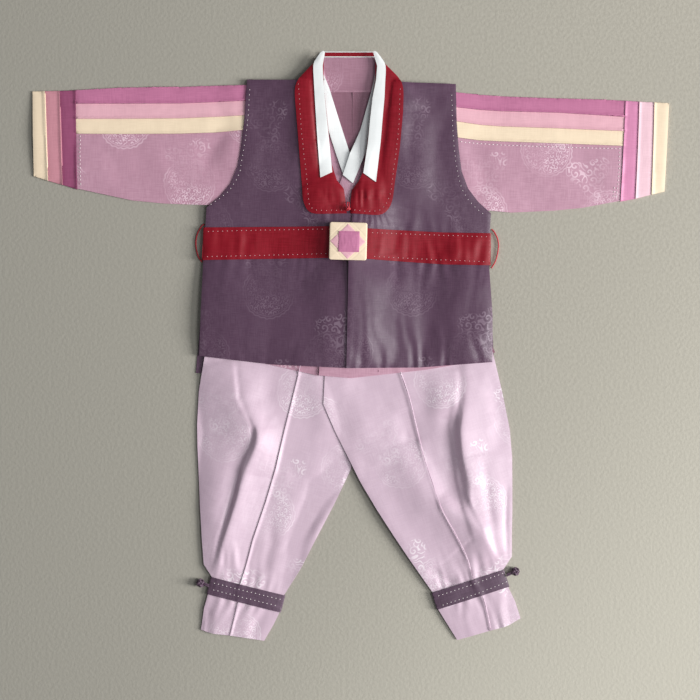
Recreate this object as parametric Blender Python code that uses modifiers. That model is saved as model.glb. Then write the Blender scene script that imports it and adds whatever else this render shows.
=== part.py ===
"""A child's first-birthday hanbok, laid flat, front up: vest, belt, jacket, trousers and ankle bands.

Left and right are as seen from above, with the neck at the top (+Y). Tables and lengths are in millimetres.
Every cloth piece is a net of plan points, lofted through a few sections. The pieces are laid one on another
in the order of a real pile, so each one rests on what is beneath it, and keeps a small gap from it.
"""

import math
from collections import namedtuple

import bmesh
import bpy
import numpy as np
from mathutils import Vector
from mathutils.bvhtree import BVHTree

# ---------------------------------------------------------------- driving sizes, in millimetres

MM = 0.001
CLOTH = 1.0  # wall of every cloth piece
GAP = 0.4  # air between pieces that lie on each other
SEAM = 0.3  # air between pieces sewn edge to edge
HOOP_EASE = 0.5  # air between a band and the edge that it goes round
BACK_CELL = 70.0  # longest side of a cell in a back, which lies almost flat
FRONT_CELL = 34.0  # the same in a front
BAND_CELL = 20.0  # the same in a narrow piece
THICKEST = 1.5  # a steep stretch is at most this many times as tall as the cloth is thick

PROBE = 2.5  # pitch of the net that records the pile's height
REACH = 380.0  # half the width of that net
WIDENING = 14  # steps over which the record of the pile slopes down past a piece's edge
SLOPE = 0.45  # fall of that slope: cloth bridges a steeper step
PROBES_ACROSS_CELL = 5
SETTLING_ROUNDS = 24
SETTLING_PACE = 0.5

VEST_PIVOT = (-2.6, 145.0)  # the vest lies turned about this point
VEST_TURN = math.radians(-1.2)
BUCKLE_CENTRE = (-2.6, 121.8)
BUCKLE_TURN = math.radians(-1.5)
BUCKLE_SIDE = 44.0
BUCKLE_CORNER = 5.0
BUCKLE_THICKNESS = 3.0
BUCKLE_PROBES = 15
PATCH_THICKNESS = 0.8
DIAMOND_SIDE = 28.6
CENTRE_SIDE = 22.6
THREAD_RADIUS = 0.9
THREAD_HEIGHT = 2.0
ANKLE_KNOT_RADIUS = 5.0
COLLAR_KNOT_RADIUS = 3.4
SLEEVE_PUFF = 2.0  # a sleeve's front stands this far off its back, half way down
CUFF_PUFF = 2.4
TROUSER_PUFF = 1.6

Finish = namedtuple("Finish", "colour roughness")
FINISHES = {
    "vest_silk": Finish((0.142, 0.094, 0.150), 0.42),
    "red_satin": Finish((0.292, 0.030, 0.042), 0.38),
    "white_cotton": Finish((0.800, 0.830, 0.830), 0.70),
    "mauve_silk": Finish((0.500, 0.285, 0.370), 0.45),
    "magenta_silk": Finish((0.560, 0.170, 0.350), 0.42),
    "pink_silk": Finish((0.770, 0.430, 0.500), 0.45),
    "cream_silk": Finish((0.860, 0.720, 0.530), 0.45),
    "dusty_silk": Finish((0.560, 0.280, 0.310), 0.45),
    "plum_silk": Finish((0.290, 0.080, 0.200), 0.42),
    "lilac_satin": Finish((0.610, 0.480, 0.600), 0.32),
    "purple_silk": Finish((0.115, 0.065, 0.100), 0.42),
    "red_thread": Finish((0.330, 0.020, 0.035), 0.60),
}

# ---------------------------------------------------------------- vest, in its own turned frame

VestRow = namedtuple("VestRow", "side_x side_y front_x front_y")
VEST_ROWS = (
    VestRow(121.3, 163.5, 50.0, 164.0),
    VestRow(123.0, 120.0, 46.0, 118.0),
    VestRow(126.0, 88.0, 42.0, 88.0),
    VestRow(130.0, 62.0, 38.0, 62.0),
    VestRow(138.0, 42.0, 30.0, 42.0),
    VestRow(150.0, 27.0, 18.0, 27.0),
    VestRow(165.0, 14.0, 4.0, 10.0),
    VestRow(167.5, -40.0, 1.0, -40.0),
    VestRow(169.0, -105.0, 1.0, -107.0),
    VestRow(170.0, -158.5, 1.0, -169.0),
)
VEST_HEM_MIDDLE = (86.0, -166.6)  # the hem is a shallow arc
LEFT_FRONT_UNDERLAP = 4.0  # the left front runs on beneath the right one
BELT_PINCH = 4.0  # the belt draws the right side in
BELT_ROW = 7
BACK_CORNER = (173.8, -178.5)  # the back is longer, and flares below its slits
BACK_HEM_CENTRE = -188.0
BACK_NECK = 155.0

BandRow = namedtuple("BandRow", "outer_x outer_y inner_x inner_y")
VEST_COLLAR_LEFT = (
    BandRow(-43.9, 328.6, -31.0, 340.0),
    BandRow(-63.1, 308.8, -31.5, 314.0),
    BandRow(-65.7, 301.8, -31.0, 300.0),
    BandRow(-61.4, 250.0, -25.6, 250.0),
    BandRow(-58.6, 214.2, -22.6, 214.0),
    BandRow(-56.8, 192.0, -16.0, 193.5),
    BandRow(-56.2, 184.0, -8.2, 184.0),
    BandRow(-55.7, 172.6, -6.2, 171.1),
    BandRow(-52.8, 161.0, -5.2, 161.0),
    BandRow(-45.7, 154.1, -4.7, 155.1),
)
VEST_COLLAR_RIGHT = (
    BandRow(41.0, 327.4, 28.5, 340.0),
    BandRow(58.4, 310.3, 28.5, 312.0),
    BandRow(61.5, 303.0, 27.0, 303.0),
    BandRow(60.6, 272.9, 23.0, 272.9),
    BandRow(57.0, 232.8, 18.6, 232.8),
    BandRow(53.0, 204.0, 14.2, 203.0),
    BandRow(51.3, 192.6, 9.5, 192.8),
    BandRow(50.0, 182.0, 1.2, 182.0),
    BandRow(49.0, 172.6, -0.2, 171.1),
    BandRow(45.4, 161.0, -0.3, 161.0),
    BandRow(36.8, 152.4, -0.4, 155.1),
)
VEST_COLLAR_BACK = (
    BandRow(-33.5, 342.8, 29.0, 342.8),
    BandRow(-43.0, 328.0, 40.0, 327.0),
    BandRow(-62.0, 308.0, 58.0, 308.0),
    BandRow(-60.0, 296.0, 56.0, 296.0),
)
VEST_DONGJEONG_BACK = (
    BandRow(-32.8, 344.1, 28.6, 344.1),
    BandRow(-40.0, 330.0, 37.0, 330.0),
)
VEST_DONGJEONG_LEFT = (
    BandRow(-33.4, 344.1, -29.4, 344.1),
    BandRow(-43.8, 328.9, -32.5, 326.0),
    BandRow(-43.0, 314.0, -32.1, 314.6),
    BandRow(-41.6, 288.8, -30.0, 288.8),
    BandRow(-39.3, 251.4, -26.2, 251.4),
    BandRow(-35.2, 196.6, -21.4, 203.1),
)
VEST_DONGJEONG_RIGHT = (
    BandRow(29.2, 344.1, 25.2, 344.1),
    BandRow(41.1, 327.5, 30.6, 326.0),
    BandRow(40.0, 310.0, 29.4, 310.3),
    BandRow(39.0, 288.8, 25.2, 288.8),
    BandRow(36.6, 262.0, 22.3, 263.0),
    BandRow(34.7, 238.5, 19.9, 237.0),
    BandRow(29.2, 191.3, 14.5, 201.7),
)

# ---------------------------------------------------------------- jacket

JACKET_BACK = (  # left side, centre, right side
    ((-118.0, 304.0), (0.0, 290.0), (118.0, 296.0)),
    ((-128.0, 165.2), (0.0, 166.0), (128.0, 158.2)),
    ((-156.0, 152.0), (0.0, 150.0), (149.0, 144.0)),
    ((-159.0, 90.0), (0.0, 90.0), (150.0, 84.0)),
    ((-162.0, 30.0), (0.0, 30.0), (153.0, 26.0)),
    ((-164.0, -6.0), (-3.0, -30.0), (168.0, -6.0)),
)
JACKET_FRONT_LEFT = (  # side, middle, front edge
    ((-118.0, 304.0), (-85.0, 304.0), (-52.0, 304.0)),
    ((-128.0, 165.2), (-66.0, 166.0), (-4.0, 166.0)),
    ((-156.0, 152.0), (-76.0, 150.0), (4.0, 150.0)),
    ((-159.0, 90.0), (-74.0, 90.0), (22.0, 90.0)),
    ((-162.0, 30.0), (-73.0, 30.0), (36.0, 30.0)),
    ((-164.0, -4.0), (-39.0, -32.6), (38.0, -30.0)),
)
JACKET_FRONT_RIGHT = (  # side, middle, centre, front edge
    ((118.0, 296.0), (84.0, 299.0), (64.0, 302.0), (50.0, 304.0)),
    ((128.0, 158.2), (66.0, 162.0), (34.0, 164.0), (8.0, 166.0)),
    ((149.0, 144.0), (76.0, 147.0), (32.0, 149.0), (0.0, 150.0)),
    ((150.0, 84.0), (78.0, 86.0), (14.0, 88.0), (-18.0, 90.0)),
    ((153.0, 26.0), (84.0, 28.0), (4.0, 29.0), (-34.0, 30.0)),
    ((158.0, -14.0), (88.0, -25.9), (0.6, -35.7), (-37.0, -32.5)),
)
JACKET_COLLAR_BACK = (
    BandRow(-35.0, 336.7, 32.0, 336.7),
    BandRow(-50.0, 318.0, 48.0, 318.0),
    BandRow(-54.5, 306.0, 52.5, 306.0),
    BandRow(-56.0, 296.4, 54.0, 296.0),
)
JACKET_DONGJEONG_BACK = (
    BandRow(-34.6, 338.0, 31.4, 338.0),
    BandRow(-40.0, 324.0, 38.0, 324.0),
)
JACKET_COLLAR_LEFT = (
    BandRow(-54.0, 315.5, -34.5, 334.0),
    BandRow(-60.0, 292.0, -25.4, 301.0),
    BandRow(-51.0, 258.0, -15.2, 268.0),
    BandRow(-38.0, 214.0, -1.5, 225.0),
    BandRow(-26.0, 176.0, 10.0, 187.0),
    BandRow(-14.0, 138.0, 22.0, 149.0),
)
JACKET_COLLAR_RIGHT = (
    BandRow(51.5, 314.0, 31.0, 334.0),
    BandRow(60.0, 284.0, 23.6, 295.0),
    BandRow(47.0, 243.0, 11.6, 252.0),
    BandRow(38.0, 216.0, -0.6, 225.0),
    BandRow(28.0, 190.0, -9.0, 200.0),
    BandRow(8.0, 146.0, -26.0, 158.0),
)
JACKET_DONGJEONG_LEFT = (
    BandRow(-41.0, 328.5, -33.8, 336.0),
    BandRow(-46.5, 314.0, -32.9, 320.4),
    BandRow(-39.6, 295.5, -24.8, 300.3),
    BandRow(-29.6, 263.3, -14.8, 268.1),
    BandRow(-15.7, 220.2, -0.9, 225.0),
    BandRow(-9.4, 202.2, 4.5, 208.0),
)
JACKET_DONGJEONG_RIGHT = (
    BandRow(38.0, 327.5, 31.0, 336.0),
    BandRow(45.5, 318.0, 29.7, 321.8),
    BandRow(38.9, 290.5, 23.2, 294.4),
    BandRow(25.9, 246.3, 11.0, 252.1),
    BandRow(14.4, 219.0, -0.9, 225.0),
    BandRow(2.6, 190.1, -9.3, 200.0),
)

SleeveRow = namedtuple("SleeveRow", "top magenta_pink pink_cream cream_main bottom")
SLEEVE_ROWS = {
    "left": (
        SleeveRow((-118.0, 304.0), (-119.2, 286.8), (-120.5, 269.7), (-121.7, 252.9), (-128.0, 165.5)),
        SleeveRow((-154.0, 303.4), (-154.0, 285.2), (-155.0, 268.0), (-158.0, 249.6), (-168.0, 165.4)),
        SleeveRow((-198.7, 301.9), (-198.9, 283.6), (-199.0, 266.2), (-199.0, 248.3), (-217.3, 167.3)),
        SleeveRow((-265.7, 301.1), (-265.0, 283.4), (-264.5, 265.7), (-264.0, 247.9), (-254.6, 171.0)),
        SleeveRow((-319.7, 298.0), (-319.5, 283.3), (-319.3, 265.6), (-319.0, 248.3), (-317.9, 184.6)),
    ),
    "right": (
        SleeveRow((118.0, 296.0), (119.2, 279.3), (120.5, 262.9), (121.7, 243.9), (128.0, 158.5)),
        SleeveRow((150.4, 292.7), (150.0, 276.2), (150.0, 258.6), (150.0, 240.4), (162.0, 158.9)),
        SleeveRow((173.7, 291.1), (174.0, 274.6), (174.0, 256.9), (176.0, 239.2), (186.0, 156.8)),
        SleeveRow((239.7, 288.7), (243.5, 272.7), (243.5, 254.5), (243.5, 236.9), (236.0, 159.0)),
        SleeveRow((297.8, 287.0), (297.8, 269.3), (297.8, 252.1), (297.8, 234.8), (268.8, 162.2)),
        SleeveRow((319.2, 285.9), (318.2, 268.0), (317.4, 251.5), (316.6, 234.1), (313.3, 170.5)),
    ),
}
CuffRow = namedtuple("CuffRow", "band finish top bottom")  # each row is the far edge of its band
CUFF_ROWS = {
    "left": (
        CuffRow("plum", "plum_silk", (-338.3, 297.4), (-334.8, 189.8)),
        CuffRow("dusty", "dusty_silk", (-355.5, 297.0), (-351.9, 194.6)),
        CuffRow("cream", "cream_silk", (-370.0, 296.7), (-368.5, 199.9)),
    ),
    "right": (
        CuffRow("magenta", "magenta_silk", (335.2, 284.8), (330.8, 173.8)),
        CuffRow("pink", "pink_silk", (352.7, 284.0), (349.4, 178.6)),
        CuffRow("cream", "cream_silk", (370.0, 283.1), (364.8, 182.2)),
    ),
}

# ---------------------------------------------------------------- trousers

# The fold's height is positive where the cloth on its inner side lies over, negative where the outer does.
LegRow = namedtuple("LegRow", "outer fold seam inner height")
LEG_ROWS = {
    "left": (
        LegRow((-158.0, 32.0), (-125.0, 32.0), (-52.0, 32.0), (2.0, 32.0), 0.0),
        LegRow((-169.8, -11.0), (-132.0, -22.0), (-58.0, -20.0), (6.0, -28.0), 1.0),
        LegRow((-176.6, -51.0), (-129.0, -60.8), (-68.0, -60.0), (6.0, -62.0), 3.0),
        LegRow((-178.6, -90.0), (-113.0, -93.0), (-77.0, -96.0), (4.0, -96.0), 7.0),
        LegRow((-178.2, -116.0), (-113.0, -112.0), (-81.6, -116.0), (2.0, -119.0), 8.0),
        LegRow((-177.0, -143.0), (-125.4, -140.2), (-87.4, -141.0), (0.4, -141.3), 7.0),
        LegRow((-175.4, -181.0), (-138.0, -180.0), (-99.0, -180.0), (-18.5, -181.0), 6.0),
        LegRow((-173.0, -224.0), (-152.0, -224.0), (-114.0, -224.0), (-41.0, -224.0), 5.0),
        LegRow((-170.8, -252.0), (-158.0, -252.0), (-121.5, -253.0), (-58.0, -257.0), 3.5),
        LegRow((-161.2, -266.8), (-154.0, -268.4), (-128.5, -274.9), (-77.4, -287.8), 2.0),
        LegRow((-165.9, -286.6), (-158.0, -288.5), (-131.0, -295.3), (-82.6, -307.6), 2.0),
        LegRow((-170.5, -303.0), (-161.0, -306.5), (-135.0, -312.5), (-89.0, -321.0), 2.0),
        LegRow((-174.1, -328.0), (-163.0, -332.3), (-140.5, -334.8), (-100.6, -341.0), 2.0),
    ),
    "right": (
        LegRow((156.0, 28.0), (125.0, 28.0), (44.0, 28.0), (-18.0, 28.0), 0.0),
        LegRow((167.0, -14.0), (130.0, -20.0), (55.0, -22.0), (-30.0, -30.0), -1.0),
        LegRow((176.6, -54.0), (129.5, -58.0), (67.5, -58.0), (-31.8, -66.0), -4.0),
        LegRow((185.0, -96.0), (123.5, -98.0), (77.4, -98.0), (-18.0, -98.0), -7.0),
        LegRow((187.6, -128.0), (125.8, -128.0), (84.9, -128.0), (-3.0, -128.0), -6.0),
        LegRow((187.8, -157.0), (134.1, -157.0), (94.4, -157.0), (11.5, -157.0), -3.5),
        LegRow((187.8, -188.0), (141.5, -188.0), (105.0, -188.0), (30.0, -188.0), 2.0),
        LegRow((187.1, -219.0), (158.0, -219.0), (121.9, -219.0), (50.0, -219.0), 3.5),
        LegRow((187.1, -243.0), (169.8, -243.0), (133.8, -243.0), (66.0, -243.0), 3.0),
        LegRow((176.6, -258.8), (168.0, -261.5), (142.5, -269.7), (95.2, -284.9), 2.0),
        LegRow((182.9, -278.2), (172.0, -281.7), (152.5, -288.0), (101.6, -304.4), 2.0),
        LegRow((191.0, -295.0), (178.0, -300.0), (157.5, -304.5), (109.0, -316.5), 2.0),
        LegRow((197.4, -315.0), (182.0, -324.0), (162.5, -329.0), (123.8, -340.2), 2.0),
    ),
}
FOLD_FOOT = 4.0  # plan distance from the fold's line to its foot, and to its crest
CENTRE_BACK_X = {"left": -6.0, "right": -5.7}
BACK_INSET = 1.6  # the back of a leg lies just inside the front's outline
BAND_LINE = 9  # the leg's row along the top of the ankle band; the next one is along its foot
WAISTBAND_TOP = 60.0
WAISTBAND = (  # left end, centre, right end; foot then top
    ((-157.0, 32.4), (-6.0, 32.4), (156.0, 28.4)),
    ((-155.0, WAISTBAND_TOP), (-6.0, WAISTBAND_TOP), (153.0, WAISTBAND_TOP - 4.0)),
)

# ---------------------------------------------------------------- belt, loops and knots

BELT = (  # foot then top, from the left end to the right
    ((-171.6, 101.2), (-24.6, 103.8), (20.2, 102.2), (108.5, 96.1), (161.2, 95.2)),
    ((-170.0, 139.1), (-24.6, 140.1), (20.2, 137.5), (108.5, 133.2), (161.8, 132.4)),
)
LOOPS = {  # the thread's route by hand: out from the side seam, round the belt's end and back
    "left": (
        (-170.2, 143.2), (-173.6, 140.6), (-178.4, 131.6), (-180.1, 120.6), (-177.8, 107.0), (-172.8, 99.0),
    ),
    "right": (
        (163.4, 137.4), (166.4, 134.6), (170.6, 126.0), (171.6, 115.8), (168.6, 101.4), (163.4, 92.0),
    ),
}
LOOP_POINTS = 13
AnkleKnot = namedtuple("AnkleKnot", "centre foot")  # the ball, and where its stem leaves the band
ANKLE_KNOTS = {
    "left": AnkleKnot((-174.6, -273.6), (-166.8, -276.0)),
    "right": AnkleKnot((191.1, -260.2), (182.8, -263.6)),
}
COLLAR_KNOT = (-3.0, 160.0)
TURNED_STEPS = 16


# ---------------------------------------------------------------- nets of plan points


def refine(net, longest):
    """Adds rows until no two neighbours in a column are further apart than longest."""
    rows = [net[0]]
    for first, second in zip(net, net[1:]):
        count = max(1, math.ceil(np.linalg.norm((second - first)[:, :2], axis=-1).max() / longest))
        rows += [first + (second - first) * step / count for step in range(1, count + 1)]
    return np.array(rows)


def net_through(sections, longest):
    """A net of (x, y, rise) through sections, each a row of points that may leave out the rise."""
    sections = [[tuple(point) + (0.0,) * (3 - len(point)) for point in row] for row in sections]
    net = refine(np.array(sections, float), longest)
    return refine(net.swapaxes(0, 1), longest).swapaxes(0, 1)


def band_sections(rows):
    return [((row.outer_x, row.outer_y), (row.inner_x, row.inner_y)) for row in rows]


def toward(point, target, distance):
    """The plan point this far from point on the way to target."""
    way = Vector(target) - Vector(point)
    return tuple(Vector(point) + way * (distance / way.length))


def puffed(net, height):
    """Raises the middle of a net across its columns, and leaves both side edges down."""
    across = np.sin(np.pi * np.linspace(0.0, 1.0, net.shape[1]))
    raised = net.copy()
    raised[..., 2] += height * across
    return raised


def vest_point(x, y):
    """From the vest's own turned frame to the plan."""
    cosine, sine = math.cos(VEST_TURN), math.sin(VEST_TURN)
    return VEST_PIVOT[0] + x * cosine - y * sine, VEST_PIVOT[1] + x * sine + y * cosine


# ---------------------------------------------------------------- the pile


class Pile:
    """The height that the laid pieces reach, at each point of a square net over the plan."""

    def __init__(self):
        size = round(2 * REACH / PROBE) + 1
        self.top = np.zeros((size, size))
        self.wide = self.top.copy()

    def place(self, plan):
        """The net's nearest row and column to each plan point."""
        cells = np.rint((np.asarray(plan)[..., :2] + REACH) / PROBE).astype(int)
        return cells[..., 0], cells[..., 1]

    def height(self, plan):
        """Where a piece may lie at each plan point: a gap over the pile, or on the surface itself."""
        found = self.wide[self.place(plan)]
        return np.where(found > 0.0, found + GAP, 0.0)

    def add(self, mesh):
        """Records the top of a closed mesh, and slopes the record down beyond its edges."""
        tree = BVHTree.FromBMesh(mesh)
        corners = np.array([vertex.co[:2] for vertex in mesh.verts])
        (low_x, high_x), (low_y, high_y) = self.place([corners.min(axis=0), corners.max(axis=0)])
        for column in range(low_x, high_x + 1):
            for row in range(low_y, high_y + 1):
                start = (column * PROBE - REACH, row * PROBE - REACH, REACH)
                hit = tree.ray_cast(Vector(start), Vector((0.0, 0.0, -1.0)))[0]
                if hit is not None:
                    self.top[column, row] = max(self.top[column, row], hit.z)
        self.widen()

    def widen(self):
        """Spreads the record one step flat, then slopes it down, step by step."""
        rows, columns = self.top.shape
        self.wide = self.top
        for step in range(WIDENING):
            padded = np.pad(self.wide, 1)
            shifts = [padded[i : i + rows, j : j + columns] for i in range(3) for j in range(3)]
            fall = SLOPE * PROBE if step else 0.0
            self.wide = np.maximum(self.wide, np.max(shifts, axis=0) - fall)


def lowest_fold(corners, a, b):
    """A cell's height at (a, b), whichever of its diagonals the mesh takes."""
    z00, z10, z01, z11 = corners
    if a >= b:
        rising = z00 + a * (z10 - z00) + b * (z11 - z10)
    else:
        rising = z00 + b * (z01 - z00) + a * (z11 - z01)
    if a + b <= 1.0:
        falling = z00 + a * (z10 - z00) + b * (z01 - z00)
    else:
        falling = z11 + (1.0 - a) * (z01 - z11) + (1.0 - b) * (z10 - z11)
    return np.minimum(rising, falling)


def corners_of(net):
    return net[:-1, :-1], net[1:, :-1], net[:-1, 1:], net[1:, 1:]


def settle(net, pile):
    """Heights at which a net clears the pile at its points and over its cells, no higher than it must."""
    plan = net[..., :2]
    heights = pile.height(plan) + net[..., 2]
    ceiling = pile.height(plan)
    probes = []
    fractions = np.linspace(0.0, 1.0, PROBES_ACROSS_CELL)
    for a in fractions:
        for b in fractions:
            shares = ((1 - a) * (1 - b), a * (1 - b), (1 - a) * b, a * b)
            ground = pile.height(sum(share * corner for share, corner in zip(shares, corners_of(plan))))
            probes.append((a, b, shares, ground))
            for corner in corners_of(ceiling):
                np.maximum(corner, ground, out=corner)
    ceiling += net[..., 2]
    for _ in range(SETTLING_ROUNDS):
        lift = np.zeros_like(heights)
        for a, b, shares, ground in probes:
            need = np.maximum(ground - lowest_fold(corners_of(heights), a, b), 0.0)
            for share, corner in zip(shares, corners_of(lift)):
                np.maximum(corner, need * (share > 0.0), out=corner)
        heights = np.minimum(heights + SETTLING_PACE * lift, ceiling)
    return np.concatenate([plan, heights[..., None]], axis=-1)


def thickened(net):
    """The upper face of cloth whose lower face is this net: taller where the cloth is steep."""
    down = np.gradient(net, axis=0)
    across = np.gradient(net, axis=1)
    normal = np.cross(down, across)
    upright = np.abs(normal[..., 2]) / np.linalg.norm(normal, axis=-1)
    raised = net.copy()
    raised[..., 2] += CLOTH * np.minimum(1.0 / upright, THICKEST)
    return raised


# ---------------------------------------------------------------- meshes and objects


def material(name):
    found = bpy.data.materials.get(name)
    if found:
        return found
    made = bpy.data.materials.new(name)
    made.use_nodes = True
    shader = made.node_tree.nodes["Principled BSDF"]
    shader.inputs["Base Color"].default_value = (*FINISHES[name].colour, 1.0)
    shader.inputs["Roughness"].default_value = FINISHES[name].roughness
    shader.inputs["Metallic"].default_value = 0.0
    return made


def add_object(name, data, finish):
    made = bpy.data.objects.new(name, data)
    data.materials.append(material(finish))
    hanbok.objects.link(made)
    return made


def closed_mesh(lower, upper):
    """One closed body between two nets of the same shape. End columns that coincide are welded."""
    rows, columns = lower.shape[:2]
    mesh = bmesh.new()
    bmesh.ops.create_grid(mesh, x_segments=columns - 1, y_segments=rows - 1, size=1.0)
    number = mesh.verts.layers.int.new("number")
    for vertex in mesh.verts:
        column = round((vertex.co.x + 1.0) / 2.0 * (columns - 1))
        row = round((vertex.co.y + 1.0) / 2.0 * (rows - 1))
        vertex[number] = row * columns + column
        vertex.co = lower[row, column]
    bmesh.ops.remove_doubles(mesh, verts=mesh.verts, dist=0.001)
    bmesh.ops.triangulate(mesh, faces=mesh.faces)
    grown = bmesh.ops.extrude_face_region(mesh, geom=mesh.faces[:], use_keep_orig=True)
    moved = upper.reshape(-1, 3)
    for item in grown["geom"]:
        if isinstance(item, bmesh.types.BMVert):
            item.co = moved[item[number]]
    bmesh.ops.recalc_face_normals(mesh, faces=mesh.faces)
    return mesh


def keep(name, mesh, finish):
    """Turns a mesh in millimetres into a named object in metres."""
    bmesh.ops.scale(mesh, vec=(MM, MM, MM), verts=mesh.verts)
    data = bpy.data.meshes.new(name)
    mesh.to_mesh(data)
    mesh.free()
    return add_object(name, data, finish)


Piece = namedtuple("Piece", "name net finish")


def lay(pile, *pieces):
    """Lays pieces that are sewn edge to edge, all at once, on the pile."""
    meshes = []
    for piece in pieces:
        lower = settle(piece.net, pile)
        meshes.append(closed_mesh(lower, thickened(lower)))
    for piece, mesh in zip(pieces, meshes):
        pile.add(mesh)
        keep(piece.name, mesh, piece.finish)


def lay_runs(pile, *nets):
    """Lays the back or front runs of bands, which become objects only once both their runs are known."""
    runs = [settle(net, pile) for net in nets]
    for run in runs:
        mesh = closed_mesh(run, thickened(run))
        pile.add(mesh)
        mesh.free()
    return runs


def moved_out(run, column, neighbour):
    """Moves one end column of a run outwards by the cloth's thickness, for the wall round the edge."""
    way = run[:, column, :2] - run[:, neighbour, :2]
    run[:, column, :2] += CLOTH * way / np.linalg.norm(way, axis=-1, keepdims=True)


def make_band(name, back, front, finish, whole=True):
    """A flattened band from its two runs: a whole ring, or a strip folded round the last columns' edge."""
    back_out, front_out = back.copy(), thickened(front)
    moved_out(back_out, -1, -2)
    moved_out(front_out, -1, -2)
    if whole:
        moved_out(back_out, 0, 1)
        moved_out(front_out, 0, 1)
    inner = np.concatenate([thickened(back), front[:, ::-1]], axis=1)
    outer = np.concatenate([back_out, front_out[:, ::-1]], axis=1)
    if whole:
        inner = np.concatenate([inner, inner[:, :1]], axis=1)
        outer = np.concatenate([outer, outer[:, :1]], axis=1)
    keep(name, closed_mesh(inner, outer), finish)


# ---------------------------------------------------------------- vest


def vest_side(row, side):
    """The side seam's point in a row, drawn in at the belt on the right."""
    if side == "left":
        return -row.side_x, row.side_y
    return row.side_x - (BELT_PINCH if row is VEST_ROWS[BELT_ROW] else 0.0), row.side_y


def vest_front_net(side):
    way = 1.0 if side == "right" else -1.0
    underlap = 0.0 if side == "right" else LEFT_FRONT_UNDERLAP
    sections = []
    for row in VEST_ROWS:
        middle = ((row.side_x + row.front_x) / 2, (row.side_y + row.front_y) / 2)
        if row is VEST_ROWS[-1]:
            middle = VEST_HEM_MIDDLE
        front_x = way * row.front_x if row.front_x > 10.0 else row.front_x + underlap
        points = (vest_side(row, side), (way * middle[0], middle[1]), (front_x, row.front_y))
        sections.append([vest_point(*point) for point in points])
    return net_through(sections, FRONT_CELL)


def vest_back_net():
    sections = []
    for row in VEST_ROWS[:-1]:
        centre_y = BACK_NECK if row is VEST_ROWS[0] else row.side_y
        points = (vest_side(row, "left"), (0.0, centre_y), vest_side(row, "right"))
        sections.append([vest_point(*point) for point in points])
    corner_x, corner_y = BACK_CORNER
    hem = ((-corner_x, corner_y), (0.0, BACK_HEM_CENTRE), (corner_x, corner_y))
    sections.append([vest_point(*point) for point in hem])
    return net_through(sections, BACK_CELL)


# ---------------------------------------------------------------- jacket


def strip_net(side, upper, lower, puff=(0.0, 0.0)):
    """A lengthwise strip of a sleeve between two of its seams, half a seam gap inside each."""
    sections = []
    for row in SLEEVE_ROWS[side]:
        high, low = getattr(row, upper), getattr(row, lower)
        top = high if upper == "top" else toward(high, low, SEAM / 2)
        foot = low if lower == "bottom" else toward(low, high, SEAM / 2)
        sections.append(((*foot, puff[1]), (*top, puff[0])))
    sections[0] = [shifted(point, side, SEAM) for point in sections[0]]
    return net_through(sections, FRONT_CELL)


def shifted(point, side, distance):
    """A point of a sleeve moved away from the body."""
    way = 1.0 if side == "right" else -1.0
    return (point[0] + way * distance, *point[1:])


def cuff_net(side, number, puff):
    """One cuff band, from the sleeve's foot to its top, with its two long edges as the rows."""
    last = SLEEVE_ROWS[side][-1]
    edges = [(last.bottom, last.top)] + [(row.bottom, row.top) for row in CUFF_ROWS[side]]
    near = [shifted(point, side, SEAM) for point in edges[number]]
    far = edges[number + 1]
    return puffed(net_through((near, far), FRONT_CELL), puff)


def sleeve_backs(side):
    panel = strip_net(side, "cream_main", "bottom")
    cream = strip_net(side, "pink_cream", "cream_main")
    pink = strip_net(side, "magenta_pink", "pink_cream")
    return (
        Piece(f"sleeve_{side}_panel_back", panel, "mauve_silk"),
        Piece(f"sleeve_{side}_cream_back", cream, "cream_silk"),
        Piece(f"sleeve_{side}_pink_back", pink, "pink_silk"),
    )


def sleeve_fronts(side):
    puff = SLEEVE_PUFF
    panel = puffed(strip_net(side, "cream_main", "bottom", (puff, 0.0)), puff / 2)
    cream = strip_net(side, "pink_cream", "cream_main", (puff * 0.8, puff))
    pink = strip_net(side, "magenta_pink", "pink_cream", (puff * 0.5, puff * 0.8))
    return (
        Piece(f"sleeve_{side}_panel_front", panel, "mauve_silk"),
        Piece(f"sleeve_{side}_cream_front", cream, "cream_silk"),
        Piece(f"sleeve_{side}_pink_front", pink, "pink_silk"),
    )


def band_runs(side, puffs):
    """The top stripe and the cuffs of a sleeve, as nets for one of their runs."""
    stripe_puff, cuff_puff = puffs
    stripe = strip_net(side, "top", "magenta_pink", (0.0, stripe_puff))
    return [stripe] + [cuff_net(side, number, cuff_puff) for number in range(len(CUFF_ROWS[side]))]


def make_sleeve_bands(side, backs, fronts):
    make_band(f"sleeve_{side}_magenta_stripe", backs[0], fronts[0], "magenta_silk", whole=False)
    for row, back, front in zip(CUFF_ROWS[side], backs[1:], fronts[1:]):
        make_band(f"cuff_{side}_{row.band}", back, front, row.finish)


# ---------------------------------------------------------------- trousers


def leg_outer_net(side):
    """From the outer edge over the pleat to the seam."""
    sections = []
    for row in LEG_ROWS[side]:
        foot = toward(row.fold, row.outer, FOLD_FOOT)
        crest = toward(row.fold, row.seam, FOLD_FOOT)
        edge = toward(row.seam, row.fold, SEAM / 2)
        outer_rise = TROUSER_PUFF / 2 + max(0.0, -row.height)
        inner_rise = TROUSER_PUFF / 2 + max(0.0, row.height)
        if row in LEG_ROWS[side][BAND_LINE : BAND_LINE + 2]:
            outer_rise = inner_rise = TROUSER_PUFF / 2
        sections.append((row.outer, (*foot, outer_rise), (*crest, inner_rise), (*edge, TROUSER_PUFF)))
    return net_through(sections, FRONT_CELL)


def leg_inner_net(side):
    """From the seam to the inner edge."""
    sections = []
    for row in LEG_ROWS[side]:
        edge = toward(row.seam, row.inner, SEAM / 2)
        middle = (Vector(row.seam) + Vector(row.inner)) / 2
        sections.append(((*edge, TROUSER_PUFF), (*middle, TROUSER_PUFF), row.inner))
    return net_through(sections, FRONT_CELL)


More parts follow.
